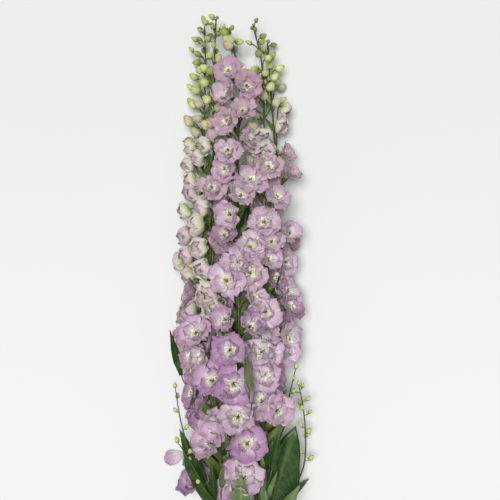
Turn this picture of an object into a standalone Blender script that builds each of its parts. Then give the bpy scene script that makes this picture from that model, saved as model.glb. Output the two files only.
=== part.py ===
"""A bunch of five cut delphinium stems, lying on a surface and tied near their cut ends.

Units are metres. +Y runs from the cut ends to the flower tips, +Z is up and z = 0 is the surface.
The origin lies on the surface, under the middle of the bunch.
"""

import math

import bmesh
import bpy
from mathutils import Matrix, Vector

TIE = {"y": -0.370, "width": 0.009, "thickness": 0.0012, "clearance": 0.0003, "ring": 0.0067}
TIE_START, TIE_END = TIE["y"] - TIE["width"], TIE["y"] + TIE["width"]  # the stems are straight between these

# Each stem starts at cut, passes through its slot in the tie, counted clockwise from the top, and follows the
# path up to its tip. Its full florets come first, then the half-open ones, the cups, and then the buds. Those
# that look up from the bunch stand at front, as the place along +Y and the offset across from the stem. Those
# between two stems also have their height over the stem, and others grow round the stem between low and high.
# They crowd towards hides, and the buds towards faces, both in degrees from +X towards +Z. turn is where the
# stem's spiral starts, and vigour is the size of its flowers against those of the strongest stems.
STEMS = {
    "left_low": {
        "slot": 3, "cut": (-0.007, -0.460, 0.0056), "faces": 150, "hides": 200, "turn": 20,
        "vigour": 0.95,
        "path": [(-0.030, -0.220, 0.018), (-0.052, -0.060, 0.031), (-0.056, 0.100, 0.032),
                 (-0.053, 0.260, 0.028), (-0.050, 0.400, 0.022), (-0.051, 0.448, 0.019)],
        "florets": {
            "low": -0.196, "high": 0.034, "others": 10,
            "front": [(-0.202, -0.025), (-0.071, -0.012), (-0.021, -0.011), (0.011, -0.021)], "between": [],
        },
        "cups": {
            "low": 0.060, "high": 0.220, "others": 4,
            "front": [(0.045, -0.016), (0.093, -0.015), (0.123, -0.020), (0.151, -0.023), (0.186, -0.024),
                      (0.211, -0.014), (0.228, -0.014), (0.250, -0.021), (0.276, -0.016)],
            "between": [],
        },
        "buds": 21,
    },
    "left_high": {
        "slot": 4, "cut": (-0.012, -0.452, 0.0150), "faces": 115, "hides": 175, "turn": 75,
        "vigour": 1.0,
        "path": [(-0.022, -0.220, 0.042), (-0.036, -0.060, 0.066), (-0.038, 0.100, 0.068),
                 (-0.037, 0.260, 0.060), (-0.036, 0.400, 0.050), (-0.034, 0.455, 0.046)],
        "florets": {
            "low": -0.110, "high": 0.070, "others": 7,
            "front": [(-0.134, -0.008), (-0.048, 0.000), (0.017, -0.020), (0.216, -0.001)],
            "between": [(0.142, 0.014, 0.012), (0.258, 0.014, 0.008)],
        },
        "cups": {
            "low": 0.080, "high": 0.240, "others": 3,
            "front": [(0.050, 0.003), (0.069, -0.007), (0.104, -0.014), (0.135, -0.018), (0.168, -0.020),
                      (0.190, -0.016), (0.259, -0.021), (0.275, -0.012)],
            "between": [],
        },
        "buds": 19,
    },
    "middle": {
        "slot": 0, "cut": (0.000, -0.455, 0.0220), "faces": 130, "hides": 270, "turn": 140,
        "vigour": 1.0,
        "path": [(-0.002, -0.220, 0.056), (-0.001, -0.060, 0.076), (-0.002, 0.100, 0.080),
                 (-0.003, 0.260, 0.072), (-0.001, 0.370, 0.060), (-0.016, 0.438, 0.053)],
        "florets": {
            "low": -0.190, "high": 0.330, "others": 3,
            "front": [(-0.182, 0.004), (-0.133, 0.011), (-0.096, -0.001), (-0.051, -0.007), (-0.005, -0.011),
                      (0.026, 0.014), (0.036, -0.017), (0.066, 0.018), (0.089, -0.015), (0.100, 0.015),
                      (0.115, 0.000), (0.135, 0.016), (0.150, -0.019), (0.179, -0.009), (0.204, 0.003),
                      (0.225, 0.016),
                      (0.242, -0.020), (0.266, -0.012), (0.308, -0.015), (0.319, 0.005), (0.344, -0.022),
                      (0.355, 0.009), (0.377, -0.018)],
            "between": [(0.000, -0.017, -0.008), (0.057, -0.017, -0.010), (0.102, -0.018, -0.012),
                        (0.202, -0.017, -0.008), (0.292, -0.019, 0.000), (-0.012, 0.018, -0.012),
                        (0.192, 0.017, -0.008), (0.283, 0.016, -0.004)],
        },
        "cups": {"low": 0.377, "high": 0.377, "others": 0, "front": [], "between": []},
        "buds": 9,
    },
    "right_high": {
        "slot": 1, "cut": (0.012, -0.458, 0.0150), "faces": 62, "hides": 320, "turn": 210,
        "vigour": 1.0,
        "path": [(0.024, -0.220, 0.040), (0.034, -0.060, 0.062), (0.035, 0.100, 0.064),
                 (0.034, 0.260, 0.056), (0.031, 0.390, 0.046), (0.018, 0.452, 0.040)],
        "florets": {
            "low": -0.100, "high": 0.220, "others": 8,
            "front": [(-0.090, 0.016), (-0.079, -0.014), (-0.039, -0.010), (-0.009, -0.014), (0.046, -0.001),
                      (0.117, 0.002), (0.142, 0.008), (0.169, -0.002), (0.204, 0.015), (0.245, 0.005),
                      (0.274, -0.020)],
            "between": [(0.080, -0.016, -0.014)],
        },
        "cups": {
            "low": 0.262, "high": 0.262, "others": 1,
            "front": [(0.255, -0.013), (0.269, 0.000), (0.290, -0.009)], "between": [],
        },
        "buds": 18,
    },
    "right_low": {
        "slot": 2, "cut": (0.007, -0.450, 0.0056), "faces": 75, "hides": 250, "turn": 300,
        "vigour": 0.86,
        "path": [(0.034, -0.220, 0.018), (0.054, -0.060, 0.030), (0.057, 0.100, 0.031),
                 (0.051, 0.260, 0.027), (0.043, 0.370, 0.022), (0.039, 0.428, 0.019)],
        "florets": {
            "low": -0.012, "high": 0.240, "others": 6,
            "front": [(-0.010, -0.004), (0.007, 0.004), (0.049, 0.010), (0.073, 0.002), (0.114, -0.001),
                      (0.154, 0.007), (0.235, 0.015), (0.268, 0.004)],
            "between": [(0.028, -0.013, 0.016), (0.095, -0.014, 0.014), (0.193, -0.010, 0.016)],
        },
        "cups": {
            "low": 0.262, "high": 0.262, "others": 1,
            "front": [(0.308, 0.005), (0.330, 0.015)], "between": [],
        },
        "buds": 10,
    },
}
STEM_RADIUS = (0.0041, 0.0010)  # at the cut end and at the tip
STEM_STEP = 0.036
HOLLOW = {"wall": 0.0013, "depth": 0.012}  # a cut delphinium stem is a tube
SEAM = 0.0006  # between the nodes that share one stem
SEAM_BELOW_FLORETS = 0.034
SEAM_ABOVE_FLORETS = 0.016
APART = 0.0010  # between neighbouring flowers
LEAVES_REACH = -0.030  # how far up the bunch leaves and side shoots stand among the flowers

GOLDEN_ANGLE = 137.5
CROWDING = {"florets": 0.55, "cups": 0.55, "buds": 0.72}  # how far they turn towards one side of their stem
CLOSING_UP = 0.94  # less than 1 sets them closer together towards the tip
FRONT_RISE = 0.45  # the least height of a front floret over its stem, as a share of its reach
FRONT_LIFT = 0.9  # how far it turns up to face away from the surface
FLORET_REACH = 0.027  # from the stem's centre to the floret's middle
FLORET_RISE = 0.020  # from a floret's foot on the stem up to its middle
FLORET_ROOM = 0.009
FREE_REACH = 0.200
BENDS_AFTER = 0.72  # the share of its room that a petal or leaf fills before it bends

PETALS = 5
# A floret is a sphere of three rings: the outer petals' tips, the throat and the inner petals' tips. Each has
# its reach and height as shares of the floret's radius, and its reach between the petals as a share of that.
FLORET_RINGS = (
    {"reach": 1.00, "valley": 0.74, "height": 0.22, "turn": 0.0},
    {"reach": 0.22, "valley": 1.00, "height": 0.00, "turn": 0.0},
    {"reach": 0.62, "valley": 0.66, "height": 0.36, "turn": 36.0},
)
FLORET_MIDDLES = {"front": 0.07, "back": -0.26}
FLORET_SIZE = (0.0262, 0.0198)  # the radius of the lowest and of the highest floret
FLORET_LEAN = 14
CUP_RINGS = (
    {"reach": 0.86, "valley": 0.92, "height": 0.10, "turn": 0.0},
    {"reach": 0.74, "valley": 0.66, "height": 0.90, "turn": 0.0},
)
CUP_MIDDLES = {"front": 0.35, "back": -0.62}
CUP_SIZE = (0.0135, 0.0105)  # the radius of the lowest and of the highest cup
CUP_LEAN = 38
SHAPES = {
    "florets": (FLORET_RINGS, FLORET_MIDDLES, FLORET_LEAN),
    "cups": (CUP_RINGS, CUP_MIDDLES, CUP_LEAN),
}

FIRST_BUD = 0.034  # above the last floret
BUD_RADIUS = (0.0074, 0.0034)  # at the lowest bud and at the tip
BUDS_SHRINK_LATE = 1.8  # more than 1 keeps the buds large until near the tip
BUD_REACH = (0.021, 0.008)
BUD_RISE = (0.012, 0.006)
BUD_STRETCH = 1.35
BUD_PEDICEL = (0.0009, 0.0006)
PEDICEL_RADIUS = 0.0011

LEAF_THICKNESS = 0.0018  # at the rib
LEAF_ARCH = 0.05
LOBE_SHRINK = 0.26  # from each lobe to the next one out
PETIOLE_RADIUS = 0.0014
# One side of a lobe, from the notch beside it to its tip: the distance from the heel as a share of the lobe's
# length, and the angle off the lobe's rib as a share of half the spread.
LOBE_OUTLINE = ((0.30, 1.0), (0.55, 0.80), (0.63, 0.42), (0.82, 0.34), (1.0, 0.0))
# Each leaf: its stem, the place of its foot along it, the heel and the tip of its middle lobe, the angle in
# degrees between its lobes, its first and last lobe, counted to the right from the middle one, and its roll
# about its length in degrees.
LEAVES = {
    "right_broad": ("right_low", -0.318, (0.044, -0.262, 0.026), (0.078, -0.122, 0.042), 32, (0, 0), -10),
    "right_front": ("right_high", -0.340, (0.036, -0.272, 0.062), (0.083, -0.192, 0.084), 30, (-1, 1), -10),
    "middle_front": ("middle", -0.330, (0.001, -0.272, 0.092), (0.004, -0.176, 0.118), 26, (-1, 1), 0),
    "middle_right": ("right_high", -0.290, (0.032, -0.232, 0.058), (0.031, -0.150, 0.072), 20, (0, 1), 0),
    "left_long": ("left_high", -0.320, (-0.036, -0.236, 0.060), (-0.086, -0.122, 0.080), 18, (0, 0), 25),
    "left_narrow": ("left_high", -0.290, (-0.050, -0.222, 0.062), (-0.074, -0.154, 0.066), 20, (0, 0), 10),
    "left_middle": ("left_high", -0.290, (-0.034, -0.236, 0.056), (-0.041, -0.157, 0.074), 22, (-1, 0), 15),
    "left_back": ("left_low", -0.355, (-0.034, -0.312, 0.018), (-0.076, -0.234, 0.022), 28, (-2, 0), 10),
    "left_front": ("left_high", -0.350, (-0.022, -0.310, 0.040), (-0.062, -0.238, 0.052), 28, (-2, 2), 20),
    "right_back": ("right_low", -0.350, (0.034, -0.318, 0.016), (0.070, -0.236, 0.022), 26, (-1, 1), -20),
    "right_under": ("right_low", -0.300, (0.046, -0.250, 0.010), (0.080, -0.160, 0.008), 26, (-1, 1), 0),
    "right_slim": ("right_high", -0.235, (0.044, -0.178, 0.066), (0.056, -0.118, 0.086), 20, (0, 0), -15),
    "right_centre": ("right_high", -0.300, (0.030, -0.246, 0.048), (0.046, -0.136, 0.048), 24, (0, 0), 0),
    "left_centre": ("middle", -0.300, (-0.008, -0.250, 0.050), (-0.016, -0.150, 0.060), 24, (0, 0), 0),
    "middle_under": ("right_low", -0.310, (0.028, -0.252, 0.010), (0.020, -0.136, 0.010), 24, (0, 1), 0),
}

# Each side shoot: its stem, the place of its foot along it, the path that it takes, and its number of buds.
SHOOTS = {
    "right_long": (
        "right_low", -0.270,
        [(0.066, -0.226, 0.026), (0.090, -0.180, 0.032), (0.093, -0.130, 0.036), (0.089, -0.090, 0.040),
         (0.084, -0.064, 0.044)], 12,
    ),
    "right_short": (
        "right_low", -0.170, [(0.062, -0.120, 0.046), (0.068, -0.080, 0.054), (0.077, -0.040, 0.056)], 5,
    ),
    "left_short": (
        "left_high", -0.270,
        [(-0.056, -0.190, 0.068), (-0.072, -0.140, 0.080), (-0.082, -0.100, 0.086),
         (-0.088, -0.062, 0.086)], 6,
    ),
    "left_bent": (
        "left_high", -0.240, [(-0.044, -0.206, 0.076), (-0.064, -0.168, 0.084), (-0.082, -0.138, 0.084)], 3,
    ),
}
SHOOT_RADIUS = (0.0013, 0.0007)
SHOOT_BUD = {"radius": 0.0037, "pedicel": 0.0005, "reach": 0.0085, "first": 0.45}

FALLEN_SEPAL = {
    "claw": (-0.081, -0.166), "tip": (-0.111, -0.174), "width": 0.020, "thickness": 0.0014, "cupping": 0.003,
}

COLOURS = {
    "leafy_stalk": (0.100, 0.215, 0.055),
    "florets": (0.560, 0.330, 0.570),
    "buds": (0.500, 0.580, 0.210),
    "rubber": (0.600, 0.440, 0.260),
}
ROUGHNESS = {"leafy_stalk": 0.55, "florets": 0.70, "buds": 0.60, "rubber": 0.75}


def chance(first, second, third=0.0):
    """A number from -1 to 1 that depends only on the three given, so each build draws the same ones."""
    value = math.sin(12.9898 * first + 78.233 * second + 37.719 * third + 1.7) * 43758.5453
    return 2 * (value - math.floor(value)) - 1


def mix(pair, share):
    return pair[0] + (pair[1] - pair[0]) * share


def eased(value, start, limit):
    """value up to start, and past it a value that nears limit and never reaches it."""
    if value <= start:
        return value
    spare = limit - start
    return start + spare * (1 - math.exp((start - value) / spare))


def stem_radius(stem, y):
    low, high = STEMS[stem]["cut"][1], STEMS[stem]["path"][-1][1]
    return mix(STEM_RADIUS, (y - low) / (high - low))


def tied_reach():
    """From a stem's centre line to the inside of the band."""
    return max(stem_radius(stem, TIE_START) for stem in STEMS) + TIE["clearance"]


def tie_slot(slot, y):
    """The centre of one of the places round the tie, all above a flat side of the band."""
    around = math.tau * slot / len(STEMS)
    middle = TIE["thickness"] + tied_reach() + TIE["ring"] * math.cos(math.pi / len(STEMS))
    return (TIE["ring"] * math.sin(around), y, middle + TIE["ring"] * math.cos(around))


def on_path(path, y):
    """The point at y on a smooth curve through the path's points, which rise in y."""
    y = min(max(y, path[0][1]), path[-1][1])
    i = max(j for j in range(len(path) - 1) if path[j][1] <= y)
    before, start, end, after = (Vector(path[min(max(j, 0), len(path) - 1)]) for j in range(i - 1, i + 3))
    span = end.y - start.y
    t = (y - start.y) / span
    leaving = (end - before) * (span / (end.y - before.y))
    arriving = (after - start) * (span / (after.y - start.y))
    point = start * (2 * t**3 - 3 * t**2 + 1) + end * (3 * t**2 - 2 * t**3)
    point += leaving * (t**3 - 2 * t**2 + t) + arriving * (t**3 - t**2)
    return Vector((point.x, y, point.z))


def on_stem(stem, y):
    """The point at y on the stem's centre line."""
    plan = STEMS[stem]
    tied = [tie_slot(plan["slot"], TIE_START), tie_slot(plan["slot"], TIE_END)]
    return on_path([plan["cut"], *tied, *plan["path"]], y)


def neighbours(stem, y):
    """The way across to each other stem at y, and half the distance less the gap between their flowers."""
    centre = on_stem(stem, y)
    for other in STEMS:
        if other != stem:
            across = on_stem(other, y) - centre
            across.y = 0
            yield across.normalized(), (across.length - APART) / 2


def bent_clear(stem, point):
    """Where a petal's or leaf's corner goes once it is bent clear of the other stems and of the surface."""
    centre = on_stem(stem, point.y)
    across = Vector((point.x - centre.x, 0, point.z - centre.z))
    reach = across.length
    if reach == 0:
        return point
    across /= reach
    limit = FREE_REACH
    if across.z < 0:
        limit = min(limit, (centre.z - APART / 2) / -across.z)
    for way, half in neighbours(stem, point.y):
        if across.dot(way) > 0:
            limit = min(limit, half / across.dot(way))
    bent = centre + across * eased(reach, BENDS_AFTER * limit, limit)
    return Vector((bent.x, point.y, bent.z))


def kept_in_room(stem, point, radius):
    """The nearest place for a ball of that radius that is clear of the other stems' room and the surface."""
    centre = on_stem(stem, point.y)
    for _ in range(6):
        for way, half in neighbours(stem, point.y):
            over = (point - centre).dot(way) + radius - half
            if over > 0:
                point = point - way * over
        point.z = max(point.z, radius + APART)
    return point


def seams(stem):
    """Where along the bunch the stem's florets and cups start and end."""
    plan = STEMS[stem]
    places = [y for kind in ("florets", "cups") for y, *_ in plan[kind]["front"] + plan[kind]["between"]]
    places += [plan["florets"]["low"], plan["cups"]["high"]]
    return min(places) - SEAM_BELOW_FLORETS, max(places) + SEAM_ABOVE_FLORETS


def front_places(stem, kind):
    """The number, share of the way up, middle, foot on the stem and facing of each flower that looks up.

    Those at front come first, and those between two stems follow.
    """
    plan = STEMS[stem][kind]
    top = max(y for y, _ in plan["front"])
    for index, (y, across, *height) in enumerate(plan["front"] + plan["between"]):
        key = STEMS[stem]["turn"] + index / 3
        share = min(max(0, y - plan["low"]) / (top - plan["low"]), 1)
        if height:
            middle = on_stem(stem, y) + Vector((across, 0, height[0]))
        else:
            rise = math.sqrt(max(FLORET_REACH**2 - across**2, (FRONT_RISE * FLORET_REACH) ** 2))
            middle = kept_in_room(stem, on_stem(stem, y) + Vector((across, 0, rise)), FLORET_ROOM)
        foot = on_stem(stem, y - FLORET_RISE)
        out = Vector((middle.x - foot.x, 0, middle.z - foot.z)).normalized()
        yield key, share, middle, foot, (out + Vector((0, 0, FRONT_LIFT))).normalized()


def spiral_places(stem, kind, count, low, high, side, sizes):
    """The same for count flowers that grow round the stem from low to high and crowd towards that side.

    sizes holds, for the lowest and the highest, their reach, their rise and the radius that they need.
    """
    for index in range(count):
        share = index / max(count - 1, 1)
        key = STEMS[stem]["turn"] + 50 + index / 7
        angle = math.radians(STEMS[stem]["turn"] + GOLDEN_ANGLE * index)
        angle -= CROWDING[kind] * math.sin(angle - math.radians(side))
        reach, rise, room = (mix(pair, share) for pair in sizes)
        y = mix((low, high), share ** CLOSING_UP) + 0.004 * chance(key, 2)
        reach *= 1 + 0.15 * chance(key, 3)
        middle = on_stem(stem, y) + Vector((math.cos(angle), 0, math.sin(angle))) * reach
        middle = kept_in_room(stem, Vector((middle.x, y, middle.z)), room)
        foot = on_stem(stem, y - rise)
        out = Vector((middle.x - foot.x, 0, middle.z - foot.z)).normalized()
        yield key, share, middle, foot, out


def flower_places(stem, kind):
    """The number, share of the way up, middle, foot on the stem and facing of each flower of one kind."""
    plan = STEMS[stem]
    if kind == "buds":
        low, high = seams(stem)[1] - SEAM_ABOVE_FLORETS + FIRST_BUD, plan["path"][-1][1] + 0.006
        sizes = (BUD_REACH, BUD_RISE, [BUD_STRETCH * radius for radius in BUD_RADIUS])
        yield from spiral_places(stem, kind, plan[kind], low, high, plan["faces"], sizes)
    else:
        row = plan[kind]
        sizes = ([FLORET_REACH] * 2, [FLORET_RISE] * 2, [FLORET_ROOM] * 2)
        if row["front"]:
            yield from front_places(stem, kind)
        yield from spiral_places(stem, kind, row["others"], row["low"], row["high"], plan["hides"], sizes)


def radius_of(stem, kind, share):
    if kind == "buds":
        return mix(BUD_RADIUS, share**BUDS_SHRINK_LATE)
    return mix(FLORET_SIZE if kind == "florets" else CUP_SIZE, share) * STEMS[stem]["vigour"]


def all_flowers():
    """Each flower: its stem, kind, radius, number, share of the way up, middle, foot and facing."""
    return [
        (stem, kind, radius_of(stem, kind, place[1]), *place)
        for stem in STEMS
        for kind in ("florets", "cups", "buds")
        for place in flower_places(stem, kind)
    ]


def nearest(first, second):
    """The nearest points of two rows of points, one from each."""
    return min(((a, b) for a in first for b in second), key=lambda pair: (pair[0] - pair[1]).length)


def room_round(flower, flowers):
    """The planes that a flower's petals stay behind, as the way to each and its distance from the middle."""
    stem, _, radius, _, _, middle, foot, _ = flower
    pedicel = [foot.lerp(middle, i / 8) for i in range(9)]
    low, high = seams(stem)
    planes = [
        (Vector((0, 0, -1)), middle.z - APART / 2),
        (Vector((0, -1, 0)), middle.y - low - SEAM / 2),
        (Vector((0, 1, 0)), high - SEAM / 2 - middle.y),
    ]
    for other in flowers:
        if other is flower or (other[5] - middle).length > radius + other[2] + 2 * APART:
            continue
        if other[0] == stem:
            here, there = middle, other[5]
        else:
            here, there = nearest(pedicel, [other[6].lerp(other[5], i / 8) for i in range(9)])
        apart = (there - here).length
        way = (there - here) / apart
        room = apart - other[2] - APART if other[1] == "buds" else (apart - APART) / 2
        planes.append((way, (here - middle).dot(way) + room))
    for other in STEMS:
        if other != stem:
            here, there = nearest(pedicel, [on_stem(other, middle.y + i * 0.004) for i in range(-8, 9)])
            apart = (there - here).length
            way = (there - here) / apart
            planes.append((way, (here - middle).dot(way) + apart - stem_radius(other, middle.y) - APART))
    if middle.y < LEAVES_REACH:
        for y in (middle.y - radius, middle.y, middle.y + radius):
            centre = on_stem(stem, y)
            planes += [(way, half - (middle - centre).dot(way)) for way, half in neighbours(stem, y)]
    return [(way, max(room, APART)) for way, room in planes]


def drawn_in(point, middle, planes):
    """Where a petal's corner goes once it is drawn in towards its flower's middle, behind the planes."""
    reach = (point - middle).length
    way = (point - middle) / reach
    limits = [room / way.dot(normal) for normal, room in planes if way.dot(normal) > 0]
    limit = min([*limits, FREE_REACH])
    return middle + way * eased(reach, BENDS_AFTER * limit, limit)


def material(name):
    found = bpy.data.materials.get(name)
    if found:
        return found
    made = bpy.data.materials.new(name)
    made.use_nodes = True
    shader = made.node_tree.nodes["Principled BSDF"]
    shader.inputs["Base Color"].default_value = (*COLOURS[name], 1)
    shader.inputs["Roughness"].default_value = ROUGHNESS[name]
    shader.inputs["Metallic"].default_value = 0.0
    made.diffuse_color = (*COLOURS[name], 1)
    return made


def placed(bm, name, collection):
    """An object in the collection that holds the mesh, which is freed."""
    mesh = bpy.data.meshes.new(name)
    bm.to_mesh(mesh)
    bm.free()
    made = bpy.data.objects.new(name, mesh)
    collection.objects.link(made)
    return made


def from_curve(curve, name, collection):
    """A mesh object in place of the curve, with its caps welded."""
    guide = bpy.data.objects.new(name, curve)
    collection.objects.link(guide)
    bpy.context.view_layer.update()
    mesh = bpy.data.meshes.new_from_object(guide.evaluated_get(bpy.context.evaluated_depsgraph_get()))
    bpy.data.objects.remove(guide)
    bpy.data.curves.remove(curve)
    bm = bmesh.new()
    bm.from_mesh(mesh)
    bpy.data.meshes.remove(mesh)
    bmesh.ops.remove_doubles(bm, verts=bm.verts, dist=1e-5)
    return placed(bm, name, collection)


def tube(name, points, radii, collection, sides):
    """A closed tube through the points, with an even number of sides."""
    curve = bpy.data.curves.new(name, "CURVE")
    curve.dimensions = "3D"
    curve.bevel_depth = 1.0
    curve.bevel_resolution = (sides - 4) // 2
    curve.use_fill_caps = True
    spline = curve.splines.new("POLY")
    spline.points.add(len(points) - 1)
    for corner, point, radius in zip(spline.points, points, radii):
        corner.co = (*point, 1)
        corner.radius = radius
    return from_curve(curve, name, collection)


def spike(name, start, end, radii, collection):
    """A thin three-sided rod from start to end."""
    way = end - start
    bm = bmesh.new()
    bmesh.ops.create_cone(
        bm, cap_ends=True, segments=3, radius1=radii[0], radius2=radii[1], depth=way.length,
        matrix=Matrix.Translation((start + end) / 2) @ way.to_track_quat("Z", "Y").to_matrix().to_4x4(),
    )
    return placed(bm, name, collection)


def joined(name, pieces, collection, colour):
    """One solid from the pieces of a collection, which are then removed."""
    body = pieces.objects[0]
    pieces.objects.unlink(body)
    collection.objects.link(body)
    body.name = name
    if pieces.objects:
        union = body.modifiers.new("join", "BOOLEAN")
        union.operation = "UNION"
        union.solver = "MANIFOLD"
        union.operand_type = "COLLECTION"
        union.collection = pieces
        bpy.context.view_layer.update()
        whole = bpy.data.meshes.new_from_object(body.evaluated_get(bpy.context.evaluated_depsgraph_get()))
        body.modifiers.clear()
        body.data = whole
        for piece in list(pieces.objects):
            bpy.data.objects.remove(piece)
    body.data.name = name
    body.data.materials.clear()
    body.data.materials.append(material(colour))
    body.data.shade_smooth()
    body.data.set_sharp_from_angle(angle=math.radians(40))
    return body


def evenly(low, high):
    steps = max(2, round((high - low) / STEM_STEP))
    return [low + (high - low) * i / steps for i in range(steps + 1)]


def stem_tube(stem, places, pieces):
    """The stem itself, through the given places along the bunch."""
    points = [on_stem(stem, y) for y in places]
    return tube("stem", points, [stem_radius(stem, y) for y in places], pieces, 6)


def bore_cut_end(obj):
    """Sinks the face at the tube's low end, inside its wall."""
    bm = bmesh.new()
    bm.from_mesh(obj.data)
    end = min(bm.faces, key=lambda face: face.calc_center_median().y)
    bmesh.ops.inset_region(bm, faces=[end], thickness=HOLLOW["wall"], use_even_offset=True)
    bmesh.ops.inset_region(bm, faces=[end], thickness=0.0002, depth=-HOLLOW["depth"], use_even_offset=True)
    bm.to_mesh(obj.data)
    bm.free()


def ring_point(ring, around, radius, key):
    """A corner of a ring of petals, at that angle round a flower of that radius."""
    around_petal = around - math.radians(ring["turn"])
    petal = abs(math.sin(PETALS / 2 * around_petal)) ** 0.6
    number = math.floor(around_petal / math.tau * PETALS) % PETALS
    reach = ring["reach"] * (ring["valley"] + (1 - ring["valley"]) * petal)
    reach *= 1 + 0.09 * petal * chance(key, number, 4)
    height = ring["height"] * (0.35 + 0.65 * petal) + 0.10 * petal * chance(key, number, 5)
    return Vector((reach * math.sin(around), reach * math.cos(around), height)) * radius


def flower_ball(rings, middles, radius, key):
    """A sphere whose rings are drawn out to the petals' outlines. It faces +Z."""
    bm = bmesh.new()
    bmesh.ops.create_uvsphere(bm, u_segments=2 * PETALS, v_segments=len(rings) + 1, radius=1)
    heights = sorted({round(vert.co.z, 4) for vert in bm.verts})
    for vert in bm.verts:
        level = heights.index(round(vert.co.z, 4))
        if level == 0:
            vert.co = (0, 0, middles["back"] * radius)
        elif level == len(heights) - 1:
            vert.co = (0, 0, middles["front"] * radius)
        else:
            vert.co = ring_point(rings[level - 1], math.atan2(vert.co.x, vert.co.y), radius, key)
    return bm


def facing(out, key, lean):
    """The turn of a flower that faces out and up the stem by about lean degrees."""
    up_stem = Vector((0, 1, 0))
    lean = math.radians(lean + 20 * chance(key, 6))
    face = out * math.cos(lean) + up_stem * math.sin(lean) + out.cross(up_stem) * 0.36 * chance(key, 7)
    face.normalize()
    side = up_stem.cross(face).normalized()
    turn = Matrix((side, face.cross(side), face)).transposed()
    return turn @ Matrix.Rotation(math.pi * chance(key, 8), 3, "Z")


def add_flower(flower, flowers, pieces):
    """An open floret of two rings of petals, or a half-open one, on its pedicel."""
    _, kind, radius, key, _, middle, foot, face = flower
    rings, middles, lean = SHAPES[kind]
    turn = facing(face, key, lean)
    planes = room_round(flower, flowers)
    bm = flower_ball(rings, middles, radius, key)
    for vert in bm.verts:
        vert.co = drawn_in(turn @ vert.co + middle, middle, planes)
    placed(bm, kind, pieces)
    spike("pedicel", foot, middle, (PEDICEL_RADIUS * 1.3, PEDICEL_RADIUS), pieces)


def add_bud(middle, foot, way, radius, thin, pieces):
    """A four-sided bud, drawn out along way, on a pedicel that is as thin as given."""
    bm = bmesh.new()
    bmesh.ops.create_uvsphere(bm, u_segments=4, v_segments=4, radius=1)
    length = radius * BUD_STRETCH
    base = middle - way * length * 0.85
    rings = [(foot, 0), (foot, thin), (base, thin), (middle, radius), (middle + way * length, 0)]
    heights = sorted({round(vert.co.z, 4) for vert in bm.verts})
    turn = (middle - foot).to_track_quat("Z", "Y")
    for vert in bm.verts:
        centre, reach = rings[heights.index(round(vert.co.z, 4))]
        around = math.atan2(vert.co.y, vert.co.x)
        vert.co = centre + turn @ Vector((reach * math.cos(around), reach * math.sin(around), 0))
    placed(bm, "bud", pieces)


def leaf_outline(lobes, spread, key):
    """The corners of a leaf round its heel, as the angle off the middle rib and the reach."""
    for off in range(lobes[0], lobes[1] + 1):
        length = 1 - LOBE_SHRINK * abs(off) + 0.05 * chance(key, off)
        sides = [(share * length, angle * spread / 2) for share, angle in LOBE_OUTLINE]
        first = sides if off == lobes[0] else sides[1:]
        yield from ((off * spread - angle, reach) for reach, angle in first)
        yield from ((off * spread + angle, reach) for reach, angle in reversed(sides[:-1]))
    yield 180 - spread, 0.05
    yield 180 + spread, 0.05


def add_leaf(name, pieces):
    """A leaf cut into lobes round its heel, arched across them, with its petiole sunk in its stem."""
    stem, foot, heel, tip, spread, lobes, roll = LEAVES[name]
    heel, tip = bent_clear(stem, Vector(heel)), Vector(tip)
    along = tip - heel
    side = along.cross(Vector((0, 0, 1))).normalized()
    side.rotate(Matrix.Rotation(math.radians(roll), 3, along))
    normal = side.cross(along).normalized()
    key = 10 * list(LEAVES).index(name)
    outline = list(leaf_outline(lobes, spread, key))
    bm = bmesh.new()
    bmesh.ops.create_uvsphere(bm, u_segments=len(outline), v_segments=2, radius=1)
    for vert in bm.verts:
        if abs(vert.co.z) > 0.5:
            vert.co = heel + normal * math.copysign(LEAF_THICKNESS / 2, vert.co.z)
        else:
            number = round(math.atan2(vert.co.x, vert.co.y) / math.tau * len(outline)) % len(outline)
            angle, reach = outline[number]
            turn = Matrix.Rotation(math.radians(-angle), 3, normal)
            arch = math.cos(math.tau * angle / spread) - (angle / 60) ** 2
            corner = heel + (turn @ along + normal * LEAF_ARCH * along.length * arch) * reach
            vert.co = bent_clear(stem, corner)
    placed(bm, "leaf", pieces)
    spike("petiole", on_stem(stem, foot), heel, (PETIOLE_RADIUS, PETIOLE_RADIUS * 0.5), pieces)


def add_shoot(name, pieces):
    """A thin side shoot with its own small buds, sunk in its stem."""
    stem, foot, path, buds = SHOOTS[name]
    points = [on_stem(stem, foot), *(bent_clear(stem, Vector(point)) for point in path)]
    radii = [mix(SHOOT_RADIUS, i / (len(points) - 1)) for i in range(len(points))]
    tube("shoot", points, radii, pieces, 4)
    key = 7 * list(SHOOTS).index(name)
    for i in range(buds):
        place = (len(points) - 1) * mix((SHOOT_BUD["first"], 1), i / max(buds - 1, 1))
        span = min(int(place), len(points) - 2)
        foot = points[span].lerp(points[span + 1], place - span)
        way = Vector((math.cos(2.4 * i + key), 0.5, 0.8 * math.sin(2.4 * i + key))).normalized()
        if i == buds - 1:
            way = (points[-1] - points[-2]).normalized()
        middle = foot + way * SHOOT_BUD["reach"] * (1 + 0.3 * chance(key, i))
        middle = kept_in_room(stem, middle, SHOOT_BUD["radius"] * BUD_STRETCH)
        add_bud(middle, foot, way, SHOOT_BUD["radius"], SHOOT_BUD["pedicel"], pieces)


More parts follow.
